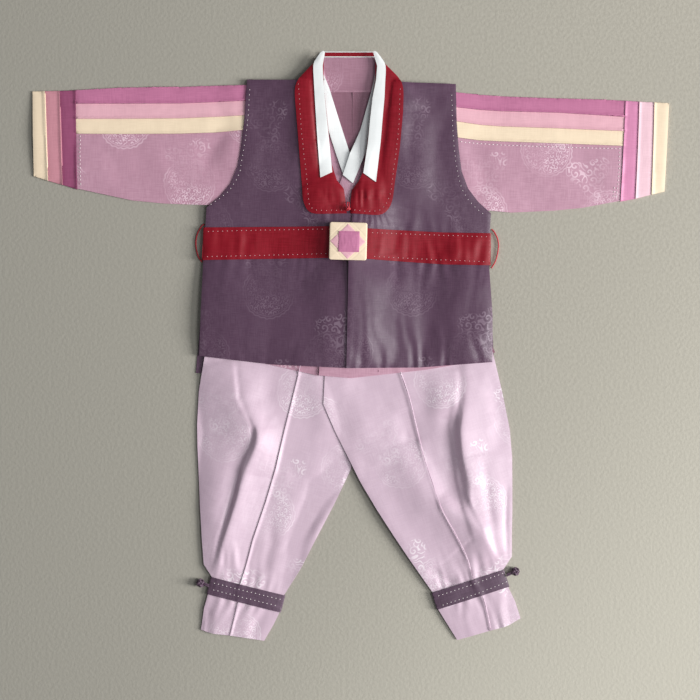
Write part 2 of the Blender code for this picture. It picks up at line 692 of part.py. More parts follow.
def leg_back_net(side):
    """The back of a leg, which runs to the centre back seam above the crotch."""
    sections = []
    for row in LEG_ROWS[side]:
        outer = toward(row.outer, row.inner, BACK_INSET)
        inner = toward(row.inner, row.outer, BACK_INSET)
        seam_x = CENTRE_BACK_X[side]
        crossing = inner[0] < seam_x if side == "right" else inner[0] > seam_x
        if crossing:
            inner = (seam_x, inner[1])
        sections.append((outer, inner))
    return net_through(sections, BACK_CELL)


def ankle_net(side):
    """The band round a leg, from its outer end to its inner one, a little wider than the leg."""
    top, foot = LEG_ROWS[side][BAND_LINE : BAND_LINE + 2]
    rows = []
    for row in (foot, top):
        outer = toward(row.outer, row.inner, -HOOP_EASE)
        inner = toward(row.inner, row.outer, -HOOP_EASE)
        rows.append((outer, inner))
    return net_through(rows, BAND_CELL)


# ---------------------------------------------------------------- small parts


def smooth_route(points, count):
    """Points at equal steps along a Catmull-Rom curve through a route given by hand."""
    route = np.array([points[0], *points, points[-1]], float)
    dense = []
    for first, second, third, fourth in zip(route, route[1:], route[2:], route[3:]):
        for t in np.linspace(0.0, 1.0, 12, endpoint=False):
            bend = 2 * first - 5 * second + 4 * third - fourth
            turn = -first + 3 * second - 3 * third + fourth
            dense.append(0.5 * (2 * second + (third - first) * t + bend * t**2 + turn * t**3))
    dense = np.array(dense + [route[-1]])
    along = np.concatenate([[0.0], np.cumsum(np.linalg.norm(np.diff(dense, axis=0), axis=1))])
    stations = np.linspace(0.0, along[-1], count)
    return np.stack([np.interp(stations, along, dense[:, axis]) for axis in range(2)], axis=1)


def make_loop(side):
    data = bpy.data.curves.new(f"belt_loop_{side}", "CURVE")
    data.dimensions = "3D"
    data.bevel_depth = THREAD_RADIUS * MM
    data.bevel_resolution = 2
    data.use_fill_caps = True
    route = smooth_route(LOOPS[side], LOOP_POINTS)
    spline = data.splines.new("POLY")
    spline.points.add(len(route) - 1)
    for point, (x, y) in zip(spline.points, route):
        point.co = (x * MM, y * MM, THREAD_HEIGHT * MM, 1.0)
    add_object(f"belt_loop_{side}", data, "red_thread")


def make_knot(name, ball, foot, radius, height, finish):
    """A knot button with its stem, turned about the stem, which points from ball to foot."""
    length = (Vector(foot) - Vector(ball)).length
    stem = radius * 0.4
    start = math.asin(stem / radius)
    profile = [(0.0, -radius)]
    for step in range(1, 7):
        angle = math.pi - (math.pi - start) * step / 6
        profile.append((radius * math.sin(angle), radius * math.cos(angle)))
    profile += [(stem, length), (0.0, length)]
    mesh = bmesh.new()
    verts = [mesh.verts.new((x * MM, 0.0, z * MM)) for x, z in profile]
    for first, second in zip(verts, verts[1:]):
        mesh.edges.new((first, second))
    data = bpy.data.meshes.new(name)
    mesh.to_mesh(data)
    mesh.free()
    knot = add_object(name, data, finish)
    knot.location = (ball[0] * MM, ball[1] * MM, height * MM)
    way = Vector((foot[0] - ball[0], foot[1] - ball[1], 0.0))
    knot.rotation_euler = way.to_track_quat("Z", "Y").to_euler()
    turn = knot.modifiers.new("turn", "SCREW")
    turn.steps = turn.render_steps = TURNED_STEPS
    turn.use_merge_vertices = True
    turn.merge_threshold = 0.00001
    turn.use_normal_calculate = True


def make_patch(name, side, corner, turn, height, thickness, finish):
    """A square patch of the buckle, with rounded corners."""
    mesh = bmesh.new()
    bmesh.ops.create_cube(mesh, size=1.0)
    bmesh.ops.scale(mesh, vec=(side, side, thickness), verts=mesh.verts)
    if corner:
        rises = [(abs(edge.verts[0].co.z - edge.verts[1].co.z), edge) for edge in mesh.edges]
        upright = [edge for rise, edge in rises if rise > thickness / 2]
        bmesh.ops.bevel(mesh, geom=upright, offset=corner, segments=3, profile=0.5, affect="EDGES")
    patch = keep(name, mesh, finish)
    patch.rotation_euler = (0.0, 0.0, turn)
    patch.location = (BUCKLE_CENTRE[0] * MM, BUCKLE_CENTRE[1] * MM, (height + thickness / 2) * MM)


def make_buckle(pile):
    steps = np.linspace(-BUCKLE_SIDE / 2, BUCKLE_SIDE / 2, BUCKLE_PROBES)
    spots = [(BUCKLE_CENTRE[0] + x, BUCKLE_CENTRE[1] + y) for x in steps for y in steps]
    height = float(pile.height(spots).max())
    make_patch(
        "belt_buckle", BUCKLE_SIDE, BUCKLE_CORNER, BUCKLE_TURN, height, BUCKLE_THICKNESS, "cream_silk"
    )
    height += BUCKLE_THICKNESS + SEAM
    diamond_turn = BUCKLE_TURN + math.radians(45)
    make_patch("buckle_diamond", DIAMOND_SIDE, 0.0, diamond_turn, height, PATCH_THICKNESS, "pink_silk")
    height += PATCH_THICKNESS + SEAM
    make_patch("buckle_centre", CENTRE_SIDE, 0.0, BUCKLE_TURN, height, PATCH_THICKNESS, "magenta_silk")


# ---------------------------------------------------------------- the whole set, from the bottom up


def band_piece(name, rows, finish):
    return Piece(name, net_through(band_sections(rows), BAND_CELL), finish)


def lay_backs(pile):
    """The belt's and ankle bands' back runs, then the backs of vest, jacket and trousers."""
    first_runs = net_through(BELT, FRONT_CELL), ankle_net("left"), ankle_net("right")
    belt_back, *ankle_backs = lay_runs(pile, *first_runs)
    lay(pile, band_piece("vest_dongjeong_back", VEST_DONGJEONG_BACK, "white_cotton"))
    lay(pile, Piece("vest_back", vest_back_net(), "vest_silk"))
    lay(pile, band_piece("vest_collar_back", VEST_COLLAR_BACK, "red_satin"))
    lay(pile, band_piece("jacket_dongjeong_back", JACKET_DONGJEONG_BACK, "white_cotton"))
    base = pile.top.copy(), pile.wide
    left_bands = lay_runs(pile, *band_runs("left", (0.0, 0.0)))
    right_bands = lay_runs(pile, *band_runs("right", (0.0, 0.0)))
    banded = pile.top
    pile.top, pile.wide = base
    jacket_back = Piece("jacket_back", net_through(JACKET_BACK, BACK_CELL), "mauve_silk")
    lay(pile, jacket_back, *sleeve_backs("left"), *sleeve_backs("right"))
    pile.top = np.maximum(pile.top, banded)
    pile.widen()
    lay(pile, band_piece("jacket_collar_back", JACKET_COLLAR_BACK, "mauve_silk"))
    sides = ("left", "right")
    lay(pile, *(Piece(f"trousers_{side}_back", leg_back_net(side), "lilac_satin") for side in sides))
    waist_back = lay_runs(pile, net_through(WAISTBAND, BACK_CELL))[0]
    return belt_back, ankle_backs, (left_bands, right_bands), waist_back


def lay_fronts(pile, side, back_runs):
    """One jacket front with its sleeve's front, stripes and cuffs."""
    base = pile.top.copy(), pile.wide
    front_runs = lay_runs(pile, *band_runs(side, (SLEEVE_PUFF * 0.5, CUFF_PUFF)))
    banded = pile.top
    pile.top, pile.wide = base
    rows = JACKET_FRONT_LEFT if side == "left" else JACKET_FRONT_RIGHT
    front = Piece(f"jacket_front_{side}", net_through(rows, FRONT_CELL), "mauve_silk")
    lay(pile, front, *sleeve_fronts(side))
    pile.top = np.maximum(pile.top, banded)
    pile.widen()
    make_sleeve_bands(side, back_runs, front_runs)


def build():
    pile = Pile()
    belt_back, ankle_backs, sleeve_runs, waist_back = lay_backs(pile)
    for side in ("left", "right"):
        outer = Piece(f"trousers_{side}_outer", leg_outer_net(side), "lilac_satin")
        inner = Piece(f"trousers_{side}_inner", leg_inner_net(side), "lilac_satin")
        lay(pile, outer, inner)
    waist_front = lay_runs(pile, net_through(WAISTBAND, BACK_CELL))[0]
    make_band("trousers_waistband", waist_back, waist_front, "lilac_satin")
    for side, back, net in zip(("left", "right"), ankle_backs, (ankle_net("left"), ankle_net("right"))):
        front = lay_runs(pile, net)[0]
        make_band(f"ankle_band_{side}", back, front, "purple_silk")

    lay_fronts(pile, "left", sleeve_runs[0])
    lay_fronts(pile, "right", sleeve_runs[1])
    lay(pile, band_piece("jacket_collar_left", JACKET_COLLAR_LEFT, "mauve_silk"))
    lay(pile, band_piece("jacket_collar_right", JACKET_COLLAR_RIGHT, "mauve_silk"))
    lay(pile, band_piece("jacket_dongjeong_left", JACKET_DONGJEONG_LEFT, "white_cotton"))
    lay(pile, band_piece("jacket_dongjeong_right", JACKET_DONGJEONG_RIGHT, "white_cotton"))

    lay(pile, Piece("vest_front_left", vest_front_net("left"), "vest_silk"))
    lay(pile, Piece("vest_front_right", vest_front_net("right"), "vest_silk"))
    collars = [("left", VEST_COLLAR_LEFT), ("right", VEST_COLLAR_RIGHT)]
    lay(pile, *(band_piece(f"vest_collar_{side}", rows, "red_satin") for side, rows in collars))
    edges = [("left", VEST_DONGJEONG_LEFT), ("right", VEST_DONGJEONG_RIGHT)]
    lay(pile, *(band_piece(f"vest_dongjeong_{side}", rows, "white_cotton") for side, rows in edges))

    belt_front = lay_runs(pile, net_through(BELT, FRONT_CELL))[0]
    make_band("belt", belt_back, belt_front, "red_satin")
    make_buckle(pile)
    for side in ("left", "right"):
        make_loop(side)
        knot = ANKLE_KNOTS[side]
        size = ANKLE_KNOT_RADIUS
        make_knot(f"ankle_knot_{side}", knot.centre, knot.foot, size, size, "purple_silk")
    x, y = COLLAR_KNOT
    height = float(pile.height([COLLAR_KNOT]).max()) + COLLAR_KNOT_RADIUS
    make_knot("collar_knot", (x, y), (x, y + 5.5), COLLAR_KNOT_RADIUS, height, "red_thread")


def centre_on_origin():
    """Puts the origin under the middle of the whole set's box."""
    bpy.context.view_layer.update()
    corners = [obj.matrix_world @ Vector(corner) for obj in hanbok.objects for corner in obj.bound_box]
    low = [min(corner[axis] for corner in corners) for axis in range(3)]
    high = [max(corner[axis] for corner in corners) for axis in range(3)]
    shift = Vector(((low[0] + high[0]) / 2, (low[1] + high[1]) / 2, low[2]))
    for obj in hanbok.objects:
        obj.location -= shift
    bpy.context.view_layer.update()


for old in list(bpy.data.objects):
    bpy.data.objects.remove(old)
hanbok = bpy.data.collections.new("hanbok")
bpy.context.scene.collection.children.link(hanbok)
build()
centre_on_origin()
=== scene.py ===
# %% [markdown]
# # A child's first-birthday hanbok, laid flat
# The set is a silk vest over a jacket with striped sleeves, a pair of wide trousers, a belt with a patchwork
# buckle, and two ankle bands. It lies on a pale plaster floor and is seen from straight above.
# The CAD model is the plain form. This file dresses it: fine cloth with folds, woven patterns, stitches,
# knots and thread. First the CAD model is loaded.

# %% Load the CAD frame
import math

import bmesh
import bpy
from mathutils import Matrix, Vector, noise
from mathutils.bvhtree import BVHTree
from mathutils.kdtree import KDTree


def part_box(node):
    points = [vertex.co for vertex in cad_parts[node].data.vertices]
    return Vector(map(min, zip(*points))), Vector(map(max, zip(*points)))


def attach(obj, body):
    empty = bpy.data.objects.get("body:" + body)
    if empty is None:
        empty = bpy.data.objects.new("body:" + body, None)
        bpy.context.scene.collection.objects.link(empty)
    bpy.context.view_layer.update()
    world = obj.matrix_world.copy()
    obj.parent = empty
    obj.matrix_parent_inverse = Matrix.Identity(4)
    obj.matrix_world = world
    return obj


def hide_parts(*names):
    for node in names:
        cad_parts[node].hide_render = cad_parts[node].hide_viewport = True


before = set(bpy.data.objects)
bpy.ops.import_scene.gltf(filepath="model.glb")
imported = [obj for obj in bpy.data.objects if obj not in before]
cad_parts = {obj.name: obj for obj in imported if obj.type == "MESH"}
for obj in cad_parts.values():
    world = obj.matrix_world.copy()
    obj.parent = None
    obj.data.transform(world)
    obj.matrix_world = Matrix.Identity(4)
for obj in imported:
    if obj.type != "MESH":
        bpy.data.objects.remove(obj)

MM = 0.001
scene = bpy.context.scene
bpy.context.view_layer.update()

# %% [markdown]
# ## The camera
# A flat lay is taken from straight above, so the camera looks down and the garment's top edge is up.
# A long lens from over two metres keeps the thick middle of the pile from looking larger than its edges.

# %% Camera straight overhead
VIEW_WIDTH = 0.8146
CAMERA_HEIGHT = 2.3
camera_data = bpy.data.cameras.new("overhead")
camera_data.sensor_width = 36
camera_data.lens = 36 * CAMERA_HEIGHT / VIEW_WIDTH
camera = bpy.data.objects.new("overhead", camera_data)
camera.location = (-0.0009, -0.0046, CAMERA_HEIGHT)
scene.collection.objects.link(camera)
scene.camera = camera
print(f"lens {camera_data.lens:.1f} mm")

# %% [markdown]
# ## The light
# One large soft window of light stands low at the right, so the left edges of the pile throw soft shadows and
# every fold has a bright side and a dark side. A weak second window is higher, and with a weak even sky it
# fills the shade.
# The colours are shown as they are, without a film curve, because the cloth's own colours matter here.

# %% Soft studio light
scene.view_settings.view_transform = "Standard"


def soft_window(name, place, size, watts, tint):
    """A flat rectangle of light that faces the middle of the set."""
    data = bpy.data.lights.new(name, "AREA")
    data.shape = "RECTANGLE"
    data.size, data.size_y = size
    data.energy = watts
    data.color = tint
    lamp = bpy.data.objects.new(name, data)
    lamp.location = place
    lamp.rotation_euler = (-Vector(place)).to_track_quat("-Z", "Y").to_euler()
    scene.collection.objects.link(lamp)


soft_window("window", (7.2, -0.7, 3.6), (2.4, 4.0), 960, (1.0, 0.985, 0.96))
soft_window("high_window", (2.6, -0.3, 5.0), (1.8, 1.8), 90, (1.0, 1.0, 1.0))
world = bpy.data.worlds.new("room")
world.use_nodes = True
sky = world.node_tree.nodes["Background"].inputs
sky["Color"].default_value = (0.95, 0.97, 1.0, 1)
sky["Strength"].default_value = 0.2
scene.world = world

# %% [markdown]
# ## Patterns as node groups
# Each woven effect is built once as a group of shader nodes, with named inputs, and is placed in every
# material that needs it. A small recorder keeps that short: it adds a node, sets its values and joins its
# sockets, and writes sums of numbers as nodes.

# %% A recorder for node groups
class Pattern:
    """Builds one node group, or the nodes of one material."""

    def __init__(self, tree):
        self.tree = tree

    def node(self, kind, settings=None, **inputs):
        """A shader node: settings are its own choices, inputs its sockets' values or links."""
        made = self.tree.nodes.new("ShaderNode" + kind)
        for name, value in (settings or {}).items():
            setattr(made, name, value)
        for name, value in inputs.items():
            self.join(value, made.inputs[name.replace("_", " ")])
        return made

    def join(self, value, socket):
        if isinstance(value, bpy.types.NodeSocket):
            self.tree.links.new(value, socket)
        else:
            socket.default_value = value

    def sum(self, operation, *values):
        """One step of arithmetic on numbers."""
        made = self.tree.nodes.new("ShaderNodeMath")
        made.operation = operation
        for value, socket in zip(values, made.inputs):
            self.join(value, socket)
        return made.outputs[0]

    def turn(self, operation, first, second=None, scale=None):
        """One step of arithmetic on vectors."""
        made = self.tree.nodes.new("ShaderNodeVectorMath")
        made.operation = operation
        self.join(first, made.inputs[0])
        if second is not None:
            self.join(second, made.inputs[1])
        if scale is not None:
            self.join(scale, made.inputs["Scale"])
        return made.outputs["Vector"]

    def step(self, value, low, high, at_low=0.0, at_high=1.0):
        """A soft step, from at_low where the value is low to at_high where it is high."""
        made = self.node("MapRange", {"interpolation_type": "SMOOTHSTEP"})
        for socket, put in zip(made.inputs, (value, low, high, at_low, at_high)):
            self.join(put, socket)
        return made.outputs[0]

    def mix(self, share, first, second):
        """The first colour with a share of the second in it."""
        made = self.tree.nodes.new("ShaderNodeMix")
        made.data_type = "RGBA"
        self.join(share, made.inputs[0])
        self.join(first, made.inputs[6])
        self.join(second, made.inputs[7])
        return made.outputs[2]


def new_group(name, inputs, outputs):
    """An empty group with these sockets, as a Pattern with its way in and way out."""
    tree = bpy.data.node_groups.new(name, "ShaderNodeTree")
    for label, kind in inputs:
        tree.interface.new_socket(label, in_out="INPUT", socket_type="NodeSocket" + kind)
    for label, kind in outputs:
        tree.interface.new_socket(label, in_out="OUTPUT", socket_type="NodeSocket" + kind)
    made = Pattern(tree)
    made.ins = tree.nodes.new("NodeGroupInput").outputs
    made.outs = tree.nodes.new("NodeGroupOutput").inputs
    return made

# %% [markdown]
# ## The weave
# Silk shows its threads as fine lines across the cloth, some thicker than others, and its tone drifts a
# little from place to place. Stretched noise gives uneven lines at three sizes, and slow noise the drift.
# The group reads a piece's own UV map, which is in metres and turned to the cloth's grain.

# %% Weave group
weave = new_group("silk_weave", [("Vector", "Vector"), ("Fineness", "Float")],
                  [("Threads", "Float"), ("Slubs", "Float"), ("Drift", "Float")])
scaled = weave.turn("SCALE", weave.ins["Vector"], scale=weave.ins["Fineness"])
weft = weave.turn("MULTIPLY", scaled, (60, 1500, 1))
warp = weave.turn("MULTIPLY", scaled, (1300, 70, 1))
slub = weave.turn("MULTIPLY", scaled, (70, 850, 1))
warp_slub = weave.turn("MULTIPLY", scaled, (800, 60, 1))
weft_noise = weave.node("TexNoise", Vector=weft, Scale=1.0, Detail=1.0)
warp_noise = weave.node("TexNoise", Vector=warp, Scale=1.0, Detail=1.0)
slub_noise = weave.node("TexNoise", Vector=slub, Scale=1.0, Detail=2.0)
warp_slub_noise = weave.node("TexNoise", Vector=warp_slub, Scale=1.0, Detail=2.0)
slow_noise = weave.node("TexNoise", Vector=weave.ins["Vector"], Scale=14.0, Detail=3.0)
threads = weave.sum("ADD", weft_noise.outputs["Fac"], warp_noise.outputs["Fac"])
weave.join(weave.sum("MULTIPLY", threads, 0.5), weave.outs["Threads"])
both = weave.sum("ADD", slub_noise.outputs["Fac"], warp_slub_noise.outputs["Fac"])
weave.join(weave.sum("MULTIPLY", both, 0.5), weave.outs["Slubs"])
weave.join(slow_noise.outputs["Fac"], weave.outs["Drift"])
print("weave group:", len(weave.tree.nodes), "nodes")

# %% [markdown]
# ## The figured silk
# Jacquard silk carries a pattern in its weave: where the threads float on top the cloth is a little lighter
# and glossier. Two generic motifs are drawn here with plain geometry: a round medallion with a double rim
# and scrolls inside, and between the medallions small clouds of curling scrolls.
# A Voronoi texture with no randomness is an even lattice, and gives each spot's nearest lattice point, so a
# motif is drawn once round that point. Turned by 45 degrees, the lattice has its rows staggered.

# %% Helpers for motifs
def line_at(group, value, wanted, width):
    """1 on the line, fading to 0 at its edges."""
    gap = group.sum("ABSOLUTE", group.sum("SUBTRACT", value, wanted))
    return group.step(gap, width * 0.5, width, 1.0, 0.0)


def polar(group, vector, pitch, randomness):
    """Distance from the nearest lattice point in metres, and the angle about it in turns."""
    lattice = group.node("TexVoronoi", {"voronoi_dimensions": "2D"}, Vector=vector, Scale=1 / pitch,
                         Randomness=randomness)
    inside = group.turn("SUBTRACT", vector, lattice.outputs["Position"])
    parts = group.node("SeparateXYZ", Vector=inside)
    x, y = parts.outputs["X"], parts.outputs["Y"]
    radius = group.sum("SQRT", group.sum("ADD", group.sum("POWER", x, 2.0), group.sum("POWER", y, 2.0)))
    angle = group.sum("DIVIDE", group.sum("ARCTAN2", y, x), math.tau)
    return radius, angle, lattice.outputs["Color"]


# %% Figure group
LATTICE = 0.104
MEDALLION = 0.0298
figure = new_group("figured_silk", [("Vector", "Vector"), ("Medallions", "Float"), ("Clouds", "Float")],
                   [("Figure", "Float")])
warped = figure.node("TexNoise", Vector=figure.ins["Vector"], Scale=55.0, Detail=1.0)
ripple = figure.turn("SCALE", figure.turn("SUBTRACT", warped.outputs["Color"], (0.5, 0.5, 0.5)), scale=0.004)
drawn = figure.turn("ADD", figure.ins["Vector"], ripple)
drawn = figure.turn("MULTIPLY", drawn, (1, 1, 0))
turned = figure.node("VectorRotate", {"rotation_type": "Z_AXIS"}, Vector=drawn, Angle=math.radians(45))


def scrolls(pitch, turns):
    """A curl about each of many scattered points, with the gaps filled by wandering lines."""
    radius, angle, tint = polar(figure, turned.outputs[0], pitch, 0.85)
    spun = figure.sum("ADD", angle, figure.node("SeparateXYZ", Vector=tint).outputs["X"])
    curl = figure.sum("FRACT", figure.sum("ADD", spun, figure.sum("MULTIPLY", radius, turns / pitch)))
    near = figure.step(radius, 0.4 * pitch, 0.46 * pitch, 1, 0)
    curl = figure.sum("MULTIPLY", line_at(figure, curl, 0.5, 0.27), near)
    field = figure.node("TexNoise", Vector=turned.outputs[0], Scale=0.7 / pitch, Detail=1.0)
    wander = figure.sum("FRACT", figure.sum("MULTIPLY", field.outputs["Fac"], 9.0))
    far = figure.step(radius, 0.42 * pitch, 0.5 * pitch)
    wander = figure.sum("MULTIPLY", line_at(figure, wander, 0.5, 0.2), far)
    return figure.sum("MAXIMUM", curl, wander)


# medallions 60 mm across: a scalloped rim, a plain one inside it, and small scrolls
radius, angle, _ = polar(figure, turned.outputs[0], LATTICE, 0.0)
petals = figure.sum("MULTIPLY", figure.sum("COSINE", figure.sum("MULTIPLY", angle, math.tau * 26)), 0.0005)
rim = figure.sum("MAXIMUM", line_at(figure, figure.sum("ADD", radius, petals), MEDALLION, 0.0010),
                 line_at(figure, radius, MEDALLION - 0.0026, 0.0006))
rim = figure.sum("MULTIPLY", rim, 0.6)
filling = figure.sum("MULTIPLY", scrolls(0.0066, 2.2), figure.step(radius, 0.0255, 0.0265, 1.0, 0.0))
medallion = figure.sum("MAXIMUM", rim, filling)

# clouds: larger scrolls, kept to lobed patches half way between the medallions
between = figure.turn("ADD", turned.outputs[0], (LATTICE / 2, 0.0, 0.0))
patch_radius, patch_angle, _ = polar(figure, between, LATTICE, 0.35)
lobes = figure.sum("MULTIPLY", figure.sum("SINE", figure.sum("MULTIPLY", patch_angle, math.tau * 3)), 0.007)
patch = figure.step(figure.sum("ADD", patch_radius, lobes), 0.021, 0.025, 1.0, 0.0)
cloud = figure.sum("MULTIPLY", scrolls(0.0115, 2.6), patch)
figure.join(figure.sum("MAXIMUM", figure.sum("MULTIPLY", medallion, figure.ins["Medallions"]),
                       figure.sum("MULTIPLY", cloud, figure.ins["Clouds"])), figure.outs["Figure"])
print("figure group:", len(figure.tree.nodes), "nodes")

# %% [markdown]
# ## The cloth materials
# All of the set's cloths are one recipe with other numbers: a ground colour, a lighter colour for the
# figures, how rough the cloth is, and how much its nap glows at a slant. Each thread line also lifts the
# surface a hair, which breaks up the gloss as real weave does.

# %% Cloth material
FINISHES = {}


def cloth(name, ground, light, roughness=0.5, sheen=0.3, fineness=1.0, figures=(0.0, 0.0), streak=0.16,
          relief=0.05, specular=0.5):
    """A woven cloth: ground and light are linear colours, figures how strong medallions and clouds are."""
    material = bpy.data.materials.new(name)
    material.use_nodes = True
    nodes = Pattern(material.node_tree)
    shader = material.node_tree.nodes["Principled BSDF"]
    place = nodes.node("UVMap", {"uv_map": "grain"}).outputs[0]
    woven = nodes.node("Group", {"node_tree": weave.tree}, Vector=place, Fineness=fineness)
    tone = nodes.mix(nodes.step(woven.outputs["Slubs"], 0.36, 0.64), (*[c * (1 - streak) for c in ground], 1),
                     (*[c + (l - c) * streak for c, l in zip(ground, light)], 1))
    tone = nodes.mix(nodes.step(woven.outputs["Drift"], 0.35, 0.7, 0.0, 0.5), tone, (*ground, 1))
    height = woven.outputs["Threads"]
    rough = nodes.step(woven.outputs["Threads"], 0.3, 0.7, roughness + 0.06, roughness - 0.06)
    if max(figures) > 0:
        drawn = nodes.node("Group", {"node_tree": figure.tree}, Vector=place, Medallions=figures[0],
                           Clouds=figures[1]).outputs[0]
        seen = nodes.sum("MULTIPLY", drawn, nodes.step(woven.outputs["Drift"], 0.42, 0.62, 0.12, 1.0))
        tone = nodes.mix(seen, tone, (*light, 1))
        rough = nodes.sum("SUBTRACT", rough, nodes.sum("MULTIPLY", seen, 0.12))
        height = nodes.sum("ADD", height, nodes.sum("MULTIPLY", drawn, 0.7))
    bump = nodes.node("Bump", Height=height, Strength=0.35, Distance=relief * MM)
    nodes.join(tone, shader.inputs["Base Color"])
    nodes.join(rough, shader.inputs["Roughness"])
    nodes.join(bump.outputs[0], shader.inputs["Normal"])
    shader.inputs["Sheen Weight"].default_value = sheen
    shader.inputs["Sheen Roughness"].default_value = 0.4
    shader.inputs["Specular IOR Level"].default_value = specular
    FINISHES[name] = material


cloth("vest_silk", (0.092, 0.043, 0.082), (0.29, 0.21, 0.275), 0.36, 0.06, fineness=1.25,
      figures=(0.32, 0.55), streak=0.1)
cloth("red_satin", (0.235, 0.003, 0.012), (0.46, 0.03, 0.06), 0.42, 0.0, fineness=0.8, streak=0.13,
      specular=0.28)
cloth("white_cotton", (0.80, 0.83, 0.84), (0.88, 0.9, 0.91), 0.62, 0.1, streak=0.04)
cloth("mauve_silk", (0.50, 0.265, 0.36), (0.82, 0.62, 0.71), 0.50, 0.12, figures=(0.8, 0.75), streak=0.1)
# The next two are darker copies of the mauve silk, for the lining and the facing inside the neck: their
# darkness is painted shade, as that place lies deep under the collars.
cloth("mauve_lining", (0.25, 0.11, 0.16), (0.44, 0.28, 0.36), 0.55, 0.1, figures=(0.2, 0.25), streak=0.1)
cloth("mauve_facing_painted_shade", (0.37, 0.185, 0.255), (0.62, 0.42, 0.52), 0.52, 0.1, figures=(0.6, 0.8), streak=0.1)
cloth("magenta_silk", (0.53, 0.175, 0.325), (0.70, 0.31, 0.47), 0.52, 0.1, streak=0.1)
cloth("pink_silk", (0.78, 0.43, 0.51), (0.9, 0.6, 0.66), 0.52, 0.1, streak=0.08)
cloth("pale_pink_silk", (0.83, 0.55, 0.63), (0.95, 0.74, 0.79), 0.52, 0.1, streak=0.1)
cloth("cream_silk", (0.88, 0.72, 0.53), (0.96, 0.86, 0.68), 0.52, 0.1, streak=0.06)
cloth("dusty_silk", (0.60, 0.26, 0.32), (0.72, 0.4, 0.46), 0.52, 0.1, streak=0.1)
cloth("plum_silk", (0.31, 0.07, 0.165), (0.45, 0.16, 0.28), 0.5, 0.1, streak=0.12)
cloth("bright_magenta_silk", (0.66, 0.24, 0.43), (0.8, 0.4, 0.58), 0.5, 0.1, streak=0.1)
cloth("lilac_satin", (0.62, 0.465, 0.57), (0.95, 0.89, 0.94), 0.41, 0.05, figures=(0.5, 0.7), streak=0.06)
cloth("purple_silk", (0.092, 0.048, 0.085), (0.24, 0.16, 0.23), 0.5, 0.15, fineness=0.9, streak=0.2)
cloth("red_thread", (0.48, 0.015, 0.03), (0.55, 0.07, 0.1), 0.5, 0.1, fineness=2.0, streak=0.2)
cloth("stitch_thread", (0.82, 0.76, 0.76), (0.93, 0.9, 0.9), 0.55, 0.1, fineness=3.0, streak=0.1)
cloth("pink_stitch_thread", (0.62, 0.36, 0.38), (0.8, 0.55, 0.56), 0.55, 0.1, fineness=3.0, streak=0.1)
print("cloths:", ", ".join(FINISHES))

# %% [markdown]
# ## The floor
# Pale plaster has a fine grain and a slow change of tone. Its colour is also painted darker towards the left
# and lighter towards the lower right, by the window: painted shade and painted light. It isn't part of the
# set, so it is only staged.

# %% Plaster floor
plaster = bpy.data.materials.new("plaster")
plaster.use_nodes = True
coat = Pattern(plaster.node_tree)
spot = coat.node("TexCoord").outputs["Object"]
grain = coat.node("TexNoise", Vector=spot, Scale=260.0, Detail=3.0)
cloudy = coat.node("TexNoise", Vector=spot, Scale=5.0, Detail=2.0)
tone = coat.mix(coat.step(grain.outputs["Fac"], 0.3, 0.7), (0.40, 0.38, 0.325, 1), (0.445, 0.425, 0.365, 1))
tone = coat.mix(coat.step(cloudy.outputs["Fac"], 0.3, 0.7, 0.0, 0.25), tone, (0.405, 0.385, 0.33, 1))
across = coat.node("SeparateXYZ", Vector=spot).outputs["X"]
# painted shade: the floor's colour darkens towards the left, away from the window
tone = coat.mix(coat.step(across, -0.55, 0.6, 0.8, 0.0), tone, (0.29, 0.28, 0.245, 1))
up = coat.node("SeparateXYZ", Vector=spot).outputs["Y"]
# painted light: the floor's colour lightens towards the lower right, by the window
toward_painted_light = coat.sum("SUBTRACT", across, up)
tone = coat.mix(coat.step(toward_painted_light, 0.1, 0.9, 0.0, 0.8), tone, (0.56, 0.54, 0.465, 1))
bump = coat.node("Bump", Height=grain.outputs["Fac"], Strength=0.5, Distance=0.8 * MM)
surface = plaster.node_tree.nodes["Principled BSDF"]
coat.join(tone, surface.inputs["Base Color"])
coat.join(bump.outputs[0], surface.inputs["Normal"])
surface.inputs["Roughness"].default_value = 0.9
bm = bmesh.new()
bmesh.ops.create_grid(bm, x_segments=1, y_segments=1, size=4.0)
floor_mesh = bpy.data.meshes.new("floor")
bm.to_mesh(floor_mesh)
bm.free()
floor = bpy.data.objects.new("floor", floor_mesh)
floor_mesh.materials.append(plaster)
scene.collection.objects.link(floor)

# %% [markdown]
# ## A finished piece
# Every piece ends the same way: its mesh becomes an object at the origin, it takes its cloth, it rides on the
# set's one body, and it is named as the stand-in for its CAD node.

# %% Mesh to piece
ROOT = "root"


def place_piece(bm, name, finish, replaces=()):
    """Turns a bmesh into a piece of the set, with smooth faces."""
    for face in bm.faces:
        face.smooth = True
    mesh = bpy.data.meshes.new(name)
    bm.to_mesh(mesh)
    bm.free()
    mesh.materials.append(FINISHES[finish])
    piece = bpy.data.objects.new(name, mesh)
    scene.collection.objects.link(piece)
    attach(piece, ROOT)
    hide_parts(*replaces)
    return piece


# %% [markdown]
# ## The belt's thread loops
# At each side seam a loop of twisted red thread comes out of the vest, runs round the belt's end and goes
# back in, so that the belt can't slip down. A loop is a straight rod of two strands, drawn along a smooth
# curve: its ring of points is dented on two sides, and the dents turn as they go along, as a twist does.

# %% Smooth route and twisted rod
def smooth_route(points, steps):
    """A Catmull-Rom curve through given points, as a list of vectors in metres."""
    points = [Vector(point) for point in points]
    ends = [points[0] * 2 - points[1], *points, points[-1] * 2 - points[-2]]
    route = []
    for before, start, stop, after in zip(ends, ends[1:], ends[2:], ends[3:]):
        for step in range(steps):
            t = step / steps
            bend = 2 * before - 5 * start + 4 * stop - after
            twist = 3 * start - before - 3 * stop + after
            route.append(0.5 * (2 * start + (stop - before) * t + bend * t * t + twist * t ** 3) * MM)
    return [*route, points[-1] * MM]


